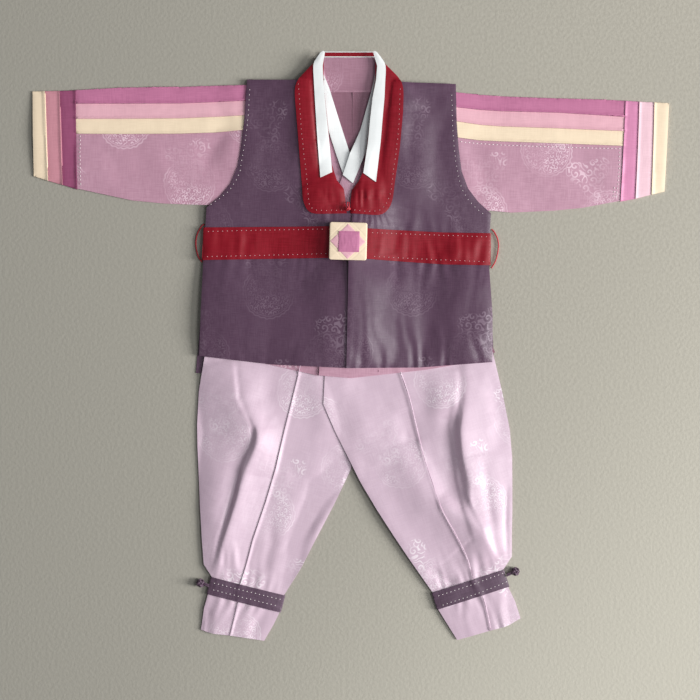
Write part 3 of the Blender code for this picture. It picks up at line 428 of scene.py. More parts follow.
def rod_along(route, radius, strands=2, pitch=3.4, sides=10, dent=0.24):
    """A twisted rod that follows the route, as a bmesh, and its length."""
    bm = bmesh.new()
    bmesh.ops.create_cone(bm, cap_ends=True, segments=sides, radius1=1, radius2=1, depth=1)
    long_edges = [edge for edge in bm.edges if abs(edge.verts[0].co.z - edge.verts[1].co.z) > 0.5]
    bmesh.ops.subdivide_edges(bm, edges=long_edges, cuts=len(route) - 2, use_grid_fill=True)
    travelled = [0.0]
    for first, second in zip(route, route[1:]):
        travelled.append(travelled[-1] + (second - first).length)
    for vert in bm.verts:
        index = round((vert.co.z + 0.5) * (len(route) - 1))
        ahead = (route[min(index + 1, len(route) - 1)] - route[max(index - 1, 0)]).normalized()
        side = ahead.cross(Vector((0, 0, 1))).normalized()
        rise = side.cross(ahead)
        around = math.atan2(vert.co.y, vert.co.x)
        twist = math.tau * travelled[index] / (pitch * MM)
        reach = radius * (1 - dent * abs(math.sin(strands / 2 * (around - twist))))
        vert.co = route[index] + (side * math.cos(around) + rise * math.sin(around)) * reach
    bmesh.ops.recalc_face_normals(bm, faces=bm.faces)
    return bm, travelled[-1]


def add_grain(bm, angle=0.0, origin=(0, 0)):
    """Writes the UV map that the cloths read: metres across and along the grain, from the origin."""
    layer = bm.loops.layers.uv.get("grain") or bm.loops.layers.uv.new("grain")
    turn = Matrix.Rotation(-math.radians(angle), 2)
    start = Vector(origin) * MM
    for face in bm.faces:
        for loop in face.loops:
            loop[layer].uv = turn @ (loop.vert.co.xy - start)


# %% Belt loops
THREAD_RADIUS = 0.9 * MM
THREAD_HEIGHT = 2.0
TABLE_SHIFT = Vector((0, -1.55, 0))
LOOPS = {
    "left": ((-170.2, 143.2), (-173.6, 140.6), (-178.4, 131.6), (-180.1, 120.6), (-177.8, 107.0),
             (-172.8, 99.0)),
    "right": ((163.4, 137.4), (166.4, 134.6), (170.6, 126.0), (171.6, 115.8), (168.6, 101.4),
              (163.4, 92.0)),
}
for side, spots in LOOPS.items():
    route = smooth_route([Vector((*spot, THREAD_HEIGHT)) + TABLE_SHIFT for spot in spots], 16)
    bm, length = rod_along(route, THREAD_RADIUS, dent=0.14)
    add_grain(bm)
    loop = place_piece(bm, f"belt_thread_{side}", "red_thread", [f"belt_loop_{side}"])
    print(f"{side} loop: {length / MM:.1f} mm of thread")

# %% [markdown]
# ## From CAD solid to fine cloth
# Each CAD solid is a plain panel of the right outline and height. A real panel is a thin sheet with soft
# creases, so the visible skin of the solid is copied, cut into cells of a few millimetres, smoothed, creased,
# laid clear of whatever is under it, and given a thickness again. The CAD node's own mesh is left alone.

# %% The outer skin of a CAD node, in fine cells
def skin_of(node, band_axis=None):
    """The node's upper skin, or for a band that runs all round, its whole outer skin.
    band_axis points along the tube that the band makes: faces that look that way are its cut ends."""
    bm = bmesh.new()
    bm.from_mesh(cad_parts[node].data)
    bmesh.ops.remove_doubles(bm, verts=bm.verts, dist=0.002 * MM)
    bm.normal_update()
    if band_axis is None:
        hidden = [face for face in bm.faces if face.normal.z < 0.2]
    else:
        tree = BVHTree.FromBMesh(bm)
        axis = Vector((math.cos(math.radians(band_axis)), math.sin(math.radians(band_axis)), 0))
        hidden = []
        for face in bm.faces:
            start = face.calc_center_median() + face.normal * 0.02 * MM
            meets_itself = tree.ray_cast(start, face.normal, 14 * MM)[0] is not None
            if meets_itself or abs(face.normal.dot(axis)) > 0.7:
                hidden.append(face)
    bmesh.ops.delete(bm, geom=hidden, context="FACES")
    return bm


def mend_flat_cells(bm):
    """A cell whose corners lie in one line has no area, and its wall would be a spike. Its long side is
    turned to the corner across from it, and at the outline the cell is left out."""
    for _ in range(4):
        for face in [face for face in bm.faces if face.calc_area() < 0.001 * MM ** 2]:
            if face.is_valid:
                longest = max(face.edges, key=lambda edge: edge.calc_length())
                if longest.is_boundary:
                    bmesh.ops.delete(bm, geom=[face], context="FACES")
                else:
                    bmesh.ops.rotate_edges(bm, edges=[longest])


def make_fine(bm, cell):
    """Halves every edge longer than a cell until none is left, then evens the cells out."""
    for _ in range(8):
        long_edges = [edge for edge in bm.edges if edge.calc_length() > cell]
        if not long_edges:
            break
        bmesh.ops.subdivide_edges(bm, edges=long_edges, cuts=1, use_grid_fill=True)
        bmesh.ops.triangulate(bm, faces=[face for face in bm.faces if len(face.verts) > 3])
        mend_flat_cells(bm)
    bmesh.ops.beautify_fill(bm, faces=bm.faces, edges=bm.edges)


def inner_verts(bm):
    """Every point that isn't on the skin's outline."""
    return [vert for vert in bm.verts if not vert.is_boundary]


def round_corner(bm, x, y, reach, passes=14):
    """Evens the outline out near one corner, till the cloth turns there on a curve."""
    near = [vert for vert in bm.verts if math.hypot(vert.co.x / MM - x, vert.co.y / MM - y) < reach]
    rim = [(vert, [edge.other_vert(vert) for edge in vert.link_edges if edge.is_boundary])
           for vert in near if vert.is_boundary]
    inner = [vert for vert in near if not vert.is_boundary]
    for _ in range(passes):
        for vert, (before, after) in rim:
            vert.co.xy = (vert.co.xy + before.co.xy + after.co.xy) / 3
        bmesh.ops.smooth_vert(bm, verts=inner, factor=0.5, use_axis_x=True, use_axis_y=True)


# %% [markdown]
# ## Creases placed one by one
# A crease is a soft ridge, or with a negative height a trough, along a line of given points. It fades out
# towards both ends, and may be steeper on its left side than on its right. Gathers are the row of small
# puckers that a seam or a tight belt makes: they stand along a line, uneven in pitch and depth, and die away
# from it. Both only give a height for a place, so they can be added up.

# %% Crease and gather
def nearest_on(points, x, y):
    """Distance from a line through given points, signed by its side, the length travelled, and the whole
    length.
    """
    best, travelled = (1e9, 0.0), 0.0
    for (ax, ay), (bx, by) in zip(points, points[1:]):
        dx, dy = bx - ax, by - ay
        size = math.hypot(dx, dy)
        share = min(1.0, max(0.0, ((x - ax) * dx + (y - ay) * dy) / size ** 2))
        gap = math.hypot(x - ax - share * dx, y - ay - share * dy)
        if gap < abs(best[0]):
            side = 1 if dx * (y - ay) - dy * (x - ax) > 0 else -1
            best = (gap * side, travelled + share * size)
        travelled += size
    return best[0], best[1], travelled


def crease(points, left, right, height):
    """A ridge or trough. left and right are its widths in millimetres on either side of the way along it."""
    def lift(x, y):
        gap, along, whole = nearest_on(points, x, y)
        width = left if gap > 0 else right
        if abs(gap) > 2.6 * width:
            return 0.0
        fade = max(0, math.sin(math.pi * along / whole)) ** 0.6
        return height * fade * math.exp(-(gap / width) ** 2)
    return lift


def gathers(points, pitch, reach, depth, seed, fade_ends=True):
    """Puckers along a line, a pitch apart, that die away over their reach on both sides of it."""
    def lift(x, y):
        gap, along, whole = nearest_on(points, x, y)
        if abs(gap) > 3 * reach:
            return 0.0
        wander = noise.noise(Vector((along / 23, seed, gap / 60)))
        size = 0.55 + 0.9 * noise.noise(Vector((along / 31, seed + 7.3, 0)))
        wave = math.sin(math.tau * (along / pitch + wander))
        ends = max(0, math.sin(math.pi * along / whole)) ** 0.35 if fade_ends else 1
        return depth * max(0, size) * wave * math.exp(-abs(gap) / reach) * ends
    return lift


def undulation(amount, size, seed):
    """The slow unevenness of cloth that lies loose."""
    def lift(x, y):
        return amount * noise.noise(Vector((x / size, y / size, seed)))
    return lift


# %% [markdown]
# ## Laying a piece on the pile
# A finished piece joins the pile as a search tree. For each point of the next piece, rays from above give the
# height of the pile there and a little way round, so that the cloth bridges an edge beneath it. Smoothing and
# lifting take turns, which leaves a soft surface that touches nothing.

# %% The pile and the shaping of one skin
AIR = 0.25
ROLL_WIDTH = 5
pile = []


def box_of(bm):
    """The lowest and the highest corner of a skin."""
    return (Vector([min(vert.co[axis] for vert in bm.verts) for axis in range(3)]),
            Vector([max(vert.co[axis] for vert in bm.verts) for axis in range(3)]))


def heights_beneath(bm, verts, reach):
    """How high the pile is under each point, or a reach away from it where it is higher there."""
    low, high = box_of(bm)
    near = [(box, tree) for box, tree in pile
            if box[0].x < high.x and box[1].x > low.x and box[0].y < high.y and box[1].y > low.y]
    found = {}
    for vert in verts:
        top = 0.0
        for dx, dy in ((0, 0), (reach, 0), (-reach, 0), (0, reach), (0, -reach)):
            x, y = vert.co.x + dx, vert.co.y + dy
            for (least, most), tree in near:
                if least.x <= x <= most.x and least.y <= y <= most.y:
                    hit = tree.ray_cast(Vector((x, y, 0.1)), Vector((0, 0, -1)))[0]
                    if hit is not None:
                        top = max(top, hit.z)
        found[vert] = top
    return found


def shape_skin(bm, thickness, lifts, passes, roll, band):
    """Smooths the skin's heights, adds its creases, rolls its edges down and keeps it clear of the pile."""
    bm.normal_update()
    moving = [vert for vert in inner_verts(bm) if not band or vert.normal.z > 0.3]
    for _ in range(2):
        bmesh.ops.smooth_vert(bm, verts=moving, factor=0.5, use_axis_x=True, use_axis_y=True)
    for _ in range(passes):
        bmesh.ops.smooth_vert(bm, verts=moving, factor=0.5, use_axis_z=True)
    upper = [vert for vert in bm.verts if vert.normal.z > 0.3]
    for vert in upper:
        x, y = vert.co.x / MM, vert.co.y / MM
        share = min(1.0, (vert.normal.z - 0.3) / 0.3) if band else 1.0
        vert.co.z += sum(lift(x, y) for lift in lifts) * MM * share
    if roll:
        edge = [vert for vert in bm.verts if vert.is_boundary]
        outline = KDTree(len(edge))
        for index, vert in enumerate(edge):
            outline.insert(vert.co, index)
        outline.balance()
        for vert in upper:
            gap = outline.find(vert.co)[2] / MM
            if gap < ROLL_WIDTH:
                vert.co.z -= roll * MM * (1 - gap / ROLL_WIDTH) ** 2
    beneath = heights_beneath(bm, upper, 2.2 * MM)
    clear = (thickness + AIR) * MM
    for _ in range(3):
        for vert in upper:
            vert.co.z = max(vert.co.z, beneath[vert] + clear)
        bmesh.ops.smooth_vert(bm, verts=moving, factor=0.5, use_axis_z=True)
    for vert in upper:
        vert.co.z = max(vert.co.z, beneath[vert] + clear)


def cut_size(bm, angle, band):
    """The cut of a skin before it was laid: the sides of the rectangle that it is cut from, and its area.
    A band's rectangle lies along its grain, and goes all round. A panel's is the smallest that holds it."""
    def sides(degrees):
        turn = Matrix.Rotation(-math.radians(degrees), 2)
        flat = [turn @ vert.co.xy for vert in outline]
        return [max(p[axis] for p in flat) - min(p[axis] for p in flat) for axis in range(2)]

    outline = [vert for vert in bm.verts if band or vert.is_boundary]
    if band:
        width, length = sides(angle)
        width, length = (width * 2, length) if band == "across" else (width, length * 2)
    else:
        width, length = min((sides(degrees) for degrees in range(0, 180, 4)),
                            key=lambda pair: pair[0] * pair[1])
    return (width, length), min(sum(face.calc_area() for face in bm.faces), width * length)


def lay_cloth(node, finish, angle=0.0, origin=(0, 0), lifts=(), cell=3.2, passes=24, roll=0.5, thickness=0.8,
              band=None, held="laid", rests_on=(), slot=None, rounded=(), drawn=None):
    """Makes the visible cloth of one CAD node and adds it to the pile. angle and origin place its grain, and
    band is None for a flat panel, or says whether a band runs round along its grain or across it. rounded
    lists corners to round, and drawn moves a place in millimetres to where the cloth is drawn."""
    axis = None if band is None else angle + (90 if band == "across" else 0)
    bm = skin_of(node, axis)
    make_fine(bm, cell * MM)
    for corner in rounded:
        round_corner(bm, *corner)
    if drawn:
        for vert in bm.verts:
            vert.co.xy = Vector(drawn(vert.co.x / MM, vert.co.y / MM)) * MM
    shape_skin(bm, thickness, lifts, passes, roll, band is not None)
    pile.append((box_of(bm), BVHTree.FromBMesh(bm)))
    flat, area = cut_size(bm, angle, band)
    add_grain(bm, angle, origin)
    for edge in bm.edges:
        edge.smooth = not edge.is_boundary
    faces = len(bm.faces)
    piece = place_piece(bm, f"{node}_cloth", finish, [node])
    wall = piece.modifiers.new("wall", "SOLIDIFY")
    wall.thickness = thickness * MM
    wall.offset = -1
    wall.use_rim = True
    print(f"{node}: {faces} cells, cut {flat[0] / MM:.0f} x {flat[1] / MM:.0f} mm, {area * 1e4:.0f} cm2")

# %% [markdown]
# ## The backs
# The backs lie flat on the floor and on each other, so they stay nearly plain. Only small waves show that
# they are loose cloth. They come first because everything else rests on them.

# %% Backs of vest, jacket, sleeves and trousers
VEST_GRAIN = -1.2
SLEEVE_GRAIN = {"left": 1.2, "right": -2.2}
LEG_GRAIN = {"left": -15.6, "right": 19.0}
back = dict(cell=8.4, passes=4, roll=0.0, thickness=1.0)
loose = undulation(0.25, 40, 3.1)


def up_to_the_facing(x, y):
    """The lining's neckline goes up under the collar's facing, most of all in the middle."""
    return x, y + 7 * max(0, 1 - ((x + 1) / 48) ** 2) * min(1, max(0, (y - 278) / 10))


lay_cloth("vest_dongjeong_back", "white_cotton", VEST_GRAIN, **back)
lay_cloth("vest_back", "vest_silk", VEST_GRAIN, (-90, 60), [loose], **back)
lay_cloth("vest_collar_back", "red_satin", VEST_GRAIN, **back, rests_on=["vest_back"])
lay_cloth("jacket_dongjeong_back", "white_cotton", VEST_GRAIN, **back, rests_on=["vest_collar_back"])
# the jacket's back shows only inside the neck, in the lining's darker mauve, which is painted shade
lay_cloth("jacket_back", "mauve_lining", VEST_GRAIN, (-50, 230), [undulation(0.5, 45, 5.2)], cell=5.4,
          passes=6, roll=0.0, thickness=1.0, rests_on=["vest_back"], slot="mauve_silk",
          drawn=up_to_the_facing)
for side, grain in SLEEVE_GRAIN.items():
    for strip, finish in (("panel", "mauve_silk"), ("cream", "cream_silk"), ("pink", "pink_silk")):
        lay_cloth(f"sleeve_{side}_{strip}_back", finish, grain, (-187, 187), [loose], **back)
# the collar's facing inside the neck takes a darker mauve too, which is painted shade
lay_cloth("jacket_collar_back", "mauve_facing_painted_shade", VEST_GRAIN, (-38, 318), **back, rests_on=["jacket_back"],
          slot="mauve_silk")
for side, grain in LEG_GRAIN.items():
    lay_cloth(f"trousers_{side}_back", "lilac_satin", grain, (-55, -53), [loose], **back)

# %% [markdown]
# ## The trousers
# Each leg has one seam down its front, so it shows two panels that meet there. The satin is wide and is drawn
# in by the ankle band, so a deep fold runs up from the band on each leg and opens into a soft hollow at the
# knee. The folds are drawn one by one, and both panels of a leg share them, so a fold crosses the seam
# unbroken.

# %% Trouser folds
LEG_FOLDS = {
    "left": [
        crease([(-139, -16), (-134, -62), (-119, -93), (-119, -112), (-131, -140), (-144, -180),
                (-158, -224), (-166, -275)], 5, 44, 5.6),
        crease([(-184, 30), (-188, -60), (-188, -140), (-184, -200), (-178, -280)], 18, 8, -3.4),
        crease([(-140, -14), (-129, -48), (-126, -68), (-117, -86), (-107, -104), (-104, -126), (-108, -150)],
               24, 30, 3.6),
        crease([(-108, -92), (-109, -106), (-117, -120), (-125, -140), (-131, -172), (-141, -205),
                (-152, -238), (-161, -268)], 17, 2.6, 3.4),
        crease([(-112, -96), (-115, -110), (-123, -124), (-131, -144), (-137, -174), (-147, -207)],
               3, 12, -2.4),
        crease([(-92, -24), (-97, -60), (-90, -100), (-88, -135)], 15, 14, -1.5),
        crease([(-10, -128), (-48, -184), (-68, -240), (-80, -285)], 13, 12, -2.5),
        crease([(-4, -158), (-40, -218), (-60, -268), (-72, -292)], 6, 7, 1.7),
        crease([(-74, -150), (-36, -160), (4, -146)], 10, 13, -1.4),
        crease([(-92, -190), (-92, -230), (-104, -266)], 6, 7, -1.0),
        crease([(-136, -226), (-133, -262)], 3.5, 5, 1.0),
        crease([(-148, -232), (-146, -266)], 3, 3, -0.8),
        crease([(-44, -32), (-32, -72), (-24, -108)], 15, 14, 1.8),
        crease([(-30, -196), (-58, -232), (-90, -262)], 7, 8, 0.9),
        gathers([(-160, -262), (-120, -271), (-80, -283)], 13, 15, 0.9, 3.3),
        gathers([(-165, -292), (-130, -300), (-86, -311)], 15, 12, 0.9, 6.3),
        crease([(-118, -338), (-104, -312), (-96, -296)], 5, 8, -1.8),
    ],
    "right": [
        crease([(146, -126), (153, -165), (166, -215), (178, -268)], 32, 42, 2.8),
        crease([(120, -36), (121, -70), (124, -98), (127, -128), (135, -157), (143, -188), (158, -219),
                (171, -248)], 36, 26, 2.4),
        crease([(120, -26), (121, -48), (119, -84)], 7, 22, 3.2),
        crease([(116, -62), (112, -95), (116, -122), (120, -156), (128, -190), (141, -230)], 3, 12, -2.4),
        crease([(124, -66), (126, -92), (128, -116), (134, -148), (135, -172), (144, -190), (157, -215),
                (169, -243), (177, -264)], 18, 3.4, 2.4),
        crease([(74, -110), (82, -140), (98, -179), (128, -200), (150, -214), (164, -246)], 12, 36, 7.0),
        crease([(2, -120), (10, -150), (22, -179), (44, -214), (72, -250), (96, -284)], 23, 12, 4.2),
        crease([(154, -128), (160, -180), (164, -222), (172, -254)], 5, 6, -1.3),
        crease([(170, -120), (172, -190), (174, -250)], 6, 5, 0.5),
        crease([(181, -160), (180, -205), (182, -250)], 2.6, 2.6, -0.9),
        crease([(60, -74), (74, -118), (94, -160), (104, -186)], 16, 12, -2.4),
        crease([(10, -50), (16, -96), (34, -140)], 20, 16, 1.6),
        crease([(92, -258), (104, -270), (122, -276)], 5, 6, -1.5),
        crease([(146, -238), (152, -268)], 4, 5, -1.0),
        crease([(98, -30), (102, -64), (104, -104)], 12, 12, 1.8),
        crease([(162, -36), (172, -80), (172, -118)], 10, 9, -1.4),
        gathers([(96, -281), (140, -266), (176, -255)], 12, 15, 0.9, 4.1),
        gathers([(104, -306), (150, -292), (186, -280)], 16, 13, 0.8, 9.1),
    ],
}
for side, sign in (("left", -1), ("right", 1)):
    folds = LEG_FOLDS[side] + [undulation(0.5, 34, 8.0 + sign), undulation(0.16, 11, 2.0 + sign)]
    medallion = (-55.6, -53.5) if side == "left" else (103.9, -41.9)
    for part in ("outer", "inner"):
        lay_cloth(f"trousers_{side}_{part}", "lilac_satin", LEG_GRAIN[side], medallion, folds, cell=2.4,
                  passes=12, roll=0.15, held="gathered", rests_on=[f"trousers_{side}_back"])
lay_cloth("trousers_waistband", "lilac_satin", 0, (0, 0), [loose], cell=6, passes=6, band="across",
          rests_on=["trousers_left_outer", "trousers_right_outer"])

# %% [markdown]
# ## The ankle bands
# A band of dark purple silk is wrapped round each leg over the satin, which it pulls in a little.

# %% Ankle bands
for side, grain in (("left", -14.2), ("right", 18.0)):
    lay_cloth(f"ankle_band_{side}", "purple_silk", grain, (0, 0), [undulation(0.3, 16, 4.4)], cell=2.8,
              passes=8, roll=0.6, thickness=0.9, band="across", held="gathered",
              rests_on=[f"trousers_{side}_outer"])

# %% [markdown]
# ## The jacket's fronts and sleeves
# A sleeve is a tube: a mauve panel below and three long stripes along its top. The magenta stripe goes over
# the top edge to the back. Three narrow bands finish each cuff. The stripes are cut straight and sewn edge to
# edge, so each dips a little where it meets the next.

# %% Jacket fronts, sleeves, stripes and cuffs
SLEEVE_FOLDS = {
    "left": [crease([(-138, 268), (-150, 246), (-170, 208)], 10, 12, -1.4),
             crease([(-205, 176), (-222, 214), (-232, 244)], 14, 10, 0.7),
             crease([(-262, 180), (-276, 214), (-290, 240)], 9, 12, -0.6),
             gathers([(-318, 186), (-320, 246)], 13, 10, 0.35, 1.2)],
    "right": [crease([(132, 246), (150, 212), (158, 176)], 12, 10, -1.2),
              crease([(196, 236), (214, 202), (228, 170)], 13, 15, 0.7),
              crease([(262, 232), (270, 206), (292, 178)], 10, 9, -0.6),
              gathers([(316, 176), (318, 232)], 12, 9, 0.35, 5.2)],
}
CUFFS = {"left": ("plum", "dusty", "cream"), "right": ("magenta", "pink", "cream")}
for side, grain in SLEEVE_GRAIN.items():
    folds = SLEEVE_FOLDS[side] + [undulation(0.6, 38, 6.0), undulation(0.14, 9, 1.0)]
    medallion = (-187.1, 187.4) if side == "left" else (157, 303)
    lay_cloth(f"jacket_front_{side}", "mauve_silk", VEST_GRAIN, (20, 150), [undulation(0.6, 36, 2.2)],
              cell=5.4, passes=12, rests_on=["jacket_back"])
    lay_cloth(f"sleeve_{side}_panel_front", "mauve_silk", grain, medallion, folds, cell=2.8,
              rests_on=[f"sleeve_{side}_panel_back"])
    for strip, finish in (("cream", "cream_silk"), ("pink", "pink_silk")):
        lay_cloth(f"sleeve_{side}_{strip}_front", finish, grain, (0, 0), folds, cell=2.8,
                  rests_on=[f"sleeve_{side}_{strip}_back"])
    lay_cloth(f"sleeve_{side}_magenta_stripe", "magenta_silk", grain, (0, 0), folds, cell=2.8, passes=12,
              band="along", held="folded")
    for strip in CUFFS[side]:
        finish = {"magenta": "bright_magenta_silk", "pink": "pale_pink_silk"}.get(strip, f"{strip}_silk")
        lay_cloth(f"cuff_{side}_{strip}", finish, grain, (0, 0), [undulation(0.25, 20, 9.0)], cell=2.6,
                  passes=12, band="along", held="folded", slot=f"{strip}_silk")

# %% [markdown]
# ## The jacket's collar
# The mauve collar bands cross below the neck, and each has a narrow strip of stiff white cotton over its
# edge.

# %% Jacket collar and white strips
for side in ("left", "right"):
    lay_cloth(f"jacket_collar_{side}", "mauve_silk", VEST_GRAIN, (20, 190), cell=3, passes=12,
              rests_on=[f"jacket_front_{side}"])
for side in ("left", "right"):
    lay_cloth(f"jacket_dongjeong_{side}", "white_cotton", VEST_GRAIN, (0, 0), cell=2.2, passes=10, roll=0.3,
              rests_on=[f"jacket_collar_{side}"])

# %% [markdown]
# ## The vest's fronts
# The vest is lined silk, so its creases are broad and low. It is sewn to a curved collar, and is held by the
# belt, and both draw small puckers into it: these are the gathers. The right front lies over the left one.

# %% Vest fronts
VEST_FOLDS = {
    "left": [
        crease([(15, 175), (14, 90), (13, -75)], 12, 82, 5.4),
        crease([(-42, 345), (-46, 250), (-38, 140)], 12, 58, 4.2),
        gathers([(-52, 157), (-30, 152), (-6, 150)], 7.5, 14, 1.2, 3.7),
        gathers([(-170, 98), (-95, 100), (-24, 101)], 21, 16, 0.55, 6.1),
        gathers([(-168, -12), (-90, -19), (-8, -25)], 27, 24, 0.5, 2.9),
        crease([(-150, 280), (-140, 225), (-146, 170)], 13, 15, -1.1),
        crease([(-96, 262), (-98, 210), (-84, 165)], 15, 18, 0.9),
        crease([(-120, 70), (-112, 20), (-118, -14)], 16, 20, 0.8),
        crease([(-58, 84), (-50, 30), (-54, -14)], 17, 15, -0.9),
        crease([(-30, 92), (-27, 50), (-30, -16)], 10, 9, 0.5),
    ],
    "right": [
        crease([(-26, -75), (-24, 90), (-22, 175)], 20, 56, 7.4),
        crease([(42, 140), (48, 250), (52, 345)], 12, 58, 4.4),
        crease([(150, -60), (152, 30), (150, 95)], 38, 16, 3.4),
        gathers([(0, 150), (24, 150), (47, 157)], 6.8, 15, 1.6, 8.7),
        gathers([(20, 100), (90, 95), (160, 92)], 17, 22, 0.9, 1.6),
        gathers([(-2, -27), (80, -24), (162, -16)], 19, 30, 1.3, 4.2),
        gathers([(60, -25), (110, -22), (162, -16)], 9, 12, 0.8, 5.5),
        gathers([(22, 139), (90, 134), (160, 132)], 23, 13, 0.5, 9.9),
        crease([(116, 276), (108, 220), (114, 165)], 13, 14, -1.0),
        crease([(76, 272), (80, 206), (68, 160)], 20, 24, 2.0),
        crease([(86, 74), (92, 30), (88, -20)], 10, 13, -1.0),
        crease([(124, 84), (118, 30), (124, -18)], 12, 13, 0.9),
        crease([(26, 90), (22, 40), (26, -22)], 12, 14, 0.7),
    ],
}
for side, medallion in (("left", (-95, 62)), ("right", (71, 65))):
    folds = VEST_FOLDS[side] + [undulation(0.5, 44, 3.0), undulation(0.13, 10, 7.0)]
    lay_cloth(f"vest_front_{side}", "vest_silk", VEST_GRAIN, medallion, folds, cell=3.0, passes=20, roll=0.6,
              rests_on=[f"jacket_front_{side}"])

# %% [markdown]
# ## Stitch rows on the collar and the belt
# Each row of pick stitches pulls the cloth down a little, which leaves a shallow groove under it, so the rows
# are set out before the cloth that carries them is made.

# %% Where the collar's and the belt's rows run
COLLAR_ROWS = [
    [(-61, 306), (-59.3, 283), (-57.3, 251.4), (-54.4, 222.3), (-50.9, 193.2), (-48.9, 170), (-47.2, 162.4),
     (-42.8, 158.2), (-36, 157), (-22, 157), (-9, 157.2)],
    [(57.3, 300.2), (56.7, 286.3), (55.6, 257.2), (52.7, 228.1), (49.2, 202.5), (46.3, 179.2), (43.9, 171.1),
     (41, 165), (36.4, 159.2), (29.4, 156.4), (16.6, 156), (3.4, 157.4)],
]
BELT_ROWS = [
    [(-168, 132.8), (-100, 134.4), (-28, 135.4)], [(22.4, 131.2), (92.2, 129), (158.6, 126.6)],
    [(-169, 103.6), (-100, 105.2), (-28, 107)], [(24.7, 103.8), (92.2, 100.4), (158.6, 97.6)],
]
print("rows:", len(COLLAR_ROWS), "on the collar,", len(BELT_ROWS), "on the belt")

# %% [markdown]
# ## The vest's collar and white strips
# A wide red satin band runs down each side of the neck and turns a round corner at its foot. Inside it a
# white cotton strip, the dongjeong, is basted over its edge, with slanted tips that hang free. Each row of
# stitches gives the satin a shallow groove with small pulls along it.

# %% Vest collar and dongjeong
COLLAR_SHAPE = {
    "left": [crease([(-31, 345), (-29, 300), (-24, 240), (-20, 190), (-10, 150)], 8, 30, 2.6),
             gathers([(-36, 172), (-8, 172)], 7.5, 12, 1.1, 1.0)],
    "right": [crease([(0, 150), (12, 190), (18, 240), (25, 300), (28, 345)], 8, 27, 3.4),
              gathers([(4, 172), (38, 174)], 8.5, 12, 1.2, 5.0)],
}
STRIP_CORNERS = {"left": [(-43.8, 327.4, 10, 7), (-31.4, 342.5, 8, 4)],
                 "right": [(41.1, 326, 10, 7), (27.2, 342.5, 8, 4)]}
COLLAR_CORNERS = {"left": [(-48, 157, 17), (-66, 300, 16)], "right": [(43, 158, 20), (61, 300, 16)]}
for side in ("left", "right"):
    grooves = [crease(row, 2.2, 2.2, -0.35) for row in COLLAR_ROWS]
    pulls = [gathers(row, 5.8, 3.2, 0.35, 2.0, False) for row in COLLAR_ROWS]
    lay_cloth(f"vest_collar_{side}", "red_satin", VEST_GRAIN, (0, 0),
              [*COLLAR_SHAPE[side], *grooves, *pulls, undulation(0.3, 15, 12.0)], cell=2.2, passes=10,
              roll=0.7, rests_on=[f"vest_front_{side}"], rounded=COLLAR_CORNERS[side])
for side in ("left", "right"):
    lay_cloth(f"vest_dongjeong_{side}", "white_cotton", VEST_GRAIN, (0, 0), cell=2.2, passes=8, roll=0.4,
              rests_on=[f"vest_collar_{side}"], rounded=STRIP_CORNERS[side])

# %% [markdown]
# ## The belt
# The belt is two layers of red satin sewn together, so it is fuller than the vest and lies in slow waves.

# %% Belt
BELT_FOLDS = [
    gathers([(24, 118), (90, 115), (162, 112)], 27, 40, 1.6, 11.0),
    gathers([(-170, 120), (-30, 122)], 30, 40, 1.1, 4.0),
    gathers([(20, 130), (90, 127), (162, 124)], 10.5, 12, 0.6, 2.5),
    gathers([(-170, 132), (-26, 134)], 12, 10, 0.6, 7.7),
    gathers([(20, 105), (90, 101), (162, 98)], 12.5, 9, 0.45, 9.5),
    crease([(34, 138), (37, 118), (35, 100)], 5, 8, 1.5),
    crease([(100, 133), (104, 112), (98, 97)], 6, 9, -1.2),
    crease([(122, 132), (124, 112), (121, 96)], 4, 7, 1.3),
    crease([(140, 132), (138, 112), (141, 95)], 4, 5, -1.0),
]
grooves = [crease(row, 2, 2, -0.35) for row in BELT_ROWS]
pulls = [gathers(row, 5.5, 3, 0.4, 6.0, False) for row in BELT_ROWS]
lay_cloth("belt", "red_satin", VEST_GRAIN, (0, 0), [*grooves, *pulls, *BELT_FOLDS, undulation(0.4, 24, 15.0)],
          cell=2.9, passes=9, roll=0.8, thickness=0.9, band="across",
          rests_on=["vest_front_left", "vest_front_right"])

# %% [markdown]
# ## Seams and piping
# A seam that was pressed to one side stands up as a narrow ridge, and between two cuff bands a thin cord of
# piping is sewn in. Both are fine rods laid along the finished cloth: their heights come from the pile.

# %% Routes that lie on the cloth
def top_of_pile(x, y):
    """The height of the topmost cloth at a place in metres, and which way it faces."""
    hits = [tree.ray_cast(Vector((x, y, 0.1)), Vector((0, 0, -1))) for (low, high), tree in pile
            if low.x <= x <= high.x and low.y <= y <= high.y]
    hits = [(hit[0].z, hit[1]) for hit in hits if hit[0] is not None]
    return max(hits, key=lambda hit: hit[0]) if hits else (0.0, Vector((0, 0, 1)))


def walk(points, pitch):
    """Evenly spaced places along a smooth line through given points, in metres, with their direction."""
    route = smooth_route([Vector((*point, 0)) for point in points], 24)
    places, owed = [], pitch * MM / 2
    for first, second in zip(route, route[1:]):
        span = (second - first).length
        while owed <= span and span > 0:
            places.append((first.lerp(second, owed / span), (second - first).normalized()))
            owed += pitch * MM
        owed -= span
    return places


def laid_rod(points, radius):
    """A plain rod that follows the cloth's height, with most of it sunk in."""
    route = []
    for place, _ in walk(points, 1.6):
        height, _ = top_of_pile(place.x, place.y)
        if height > 0:
            route.append(Vector((place.x, place.y, height + radius * (1 - SUNK_SHARE))))
    for _ in range(2):
        for before, middle, after in zip(route, route[1:], route[2:]):
            middle.z = max(middle.z, (before.z + after.z) / 2)
    return rod_along(route, radius, sides=8, dent=0.0)[0]


def join_meshes(parts):
    """Several bmeshes as one."""
    whole = bmesh.new()
    for part in parts:
        mesh = bpy.data.meshes.new("part")
        part.to_mesh(mesh)
        part.free()
        whole.from_mesh(mesh)
        bpy.data.meshes.remove(mesh)
    return whole


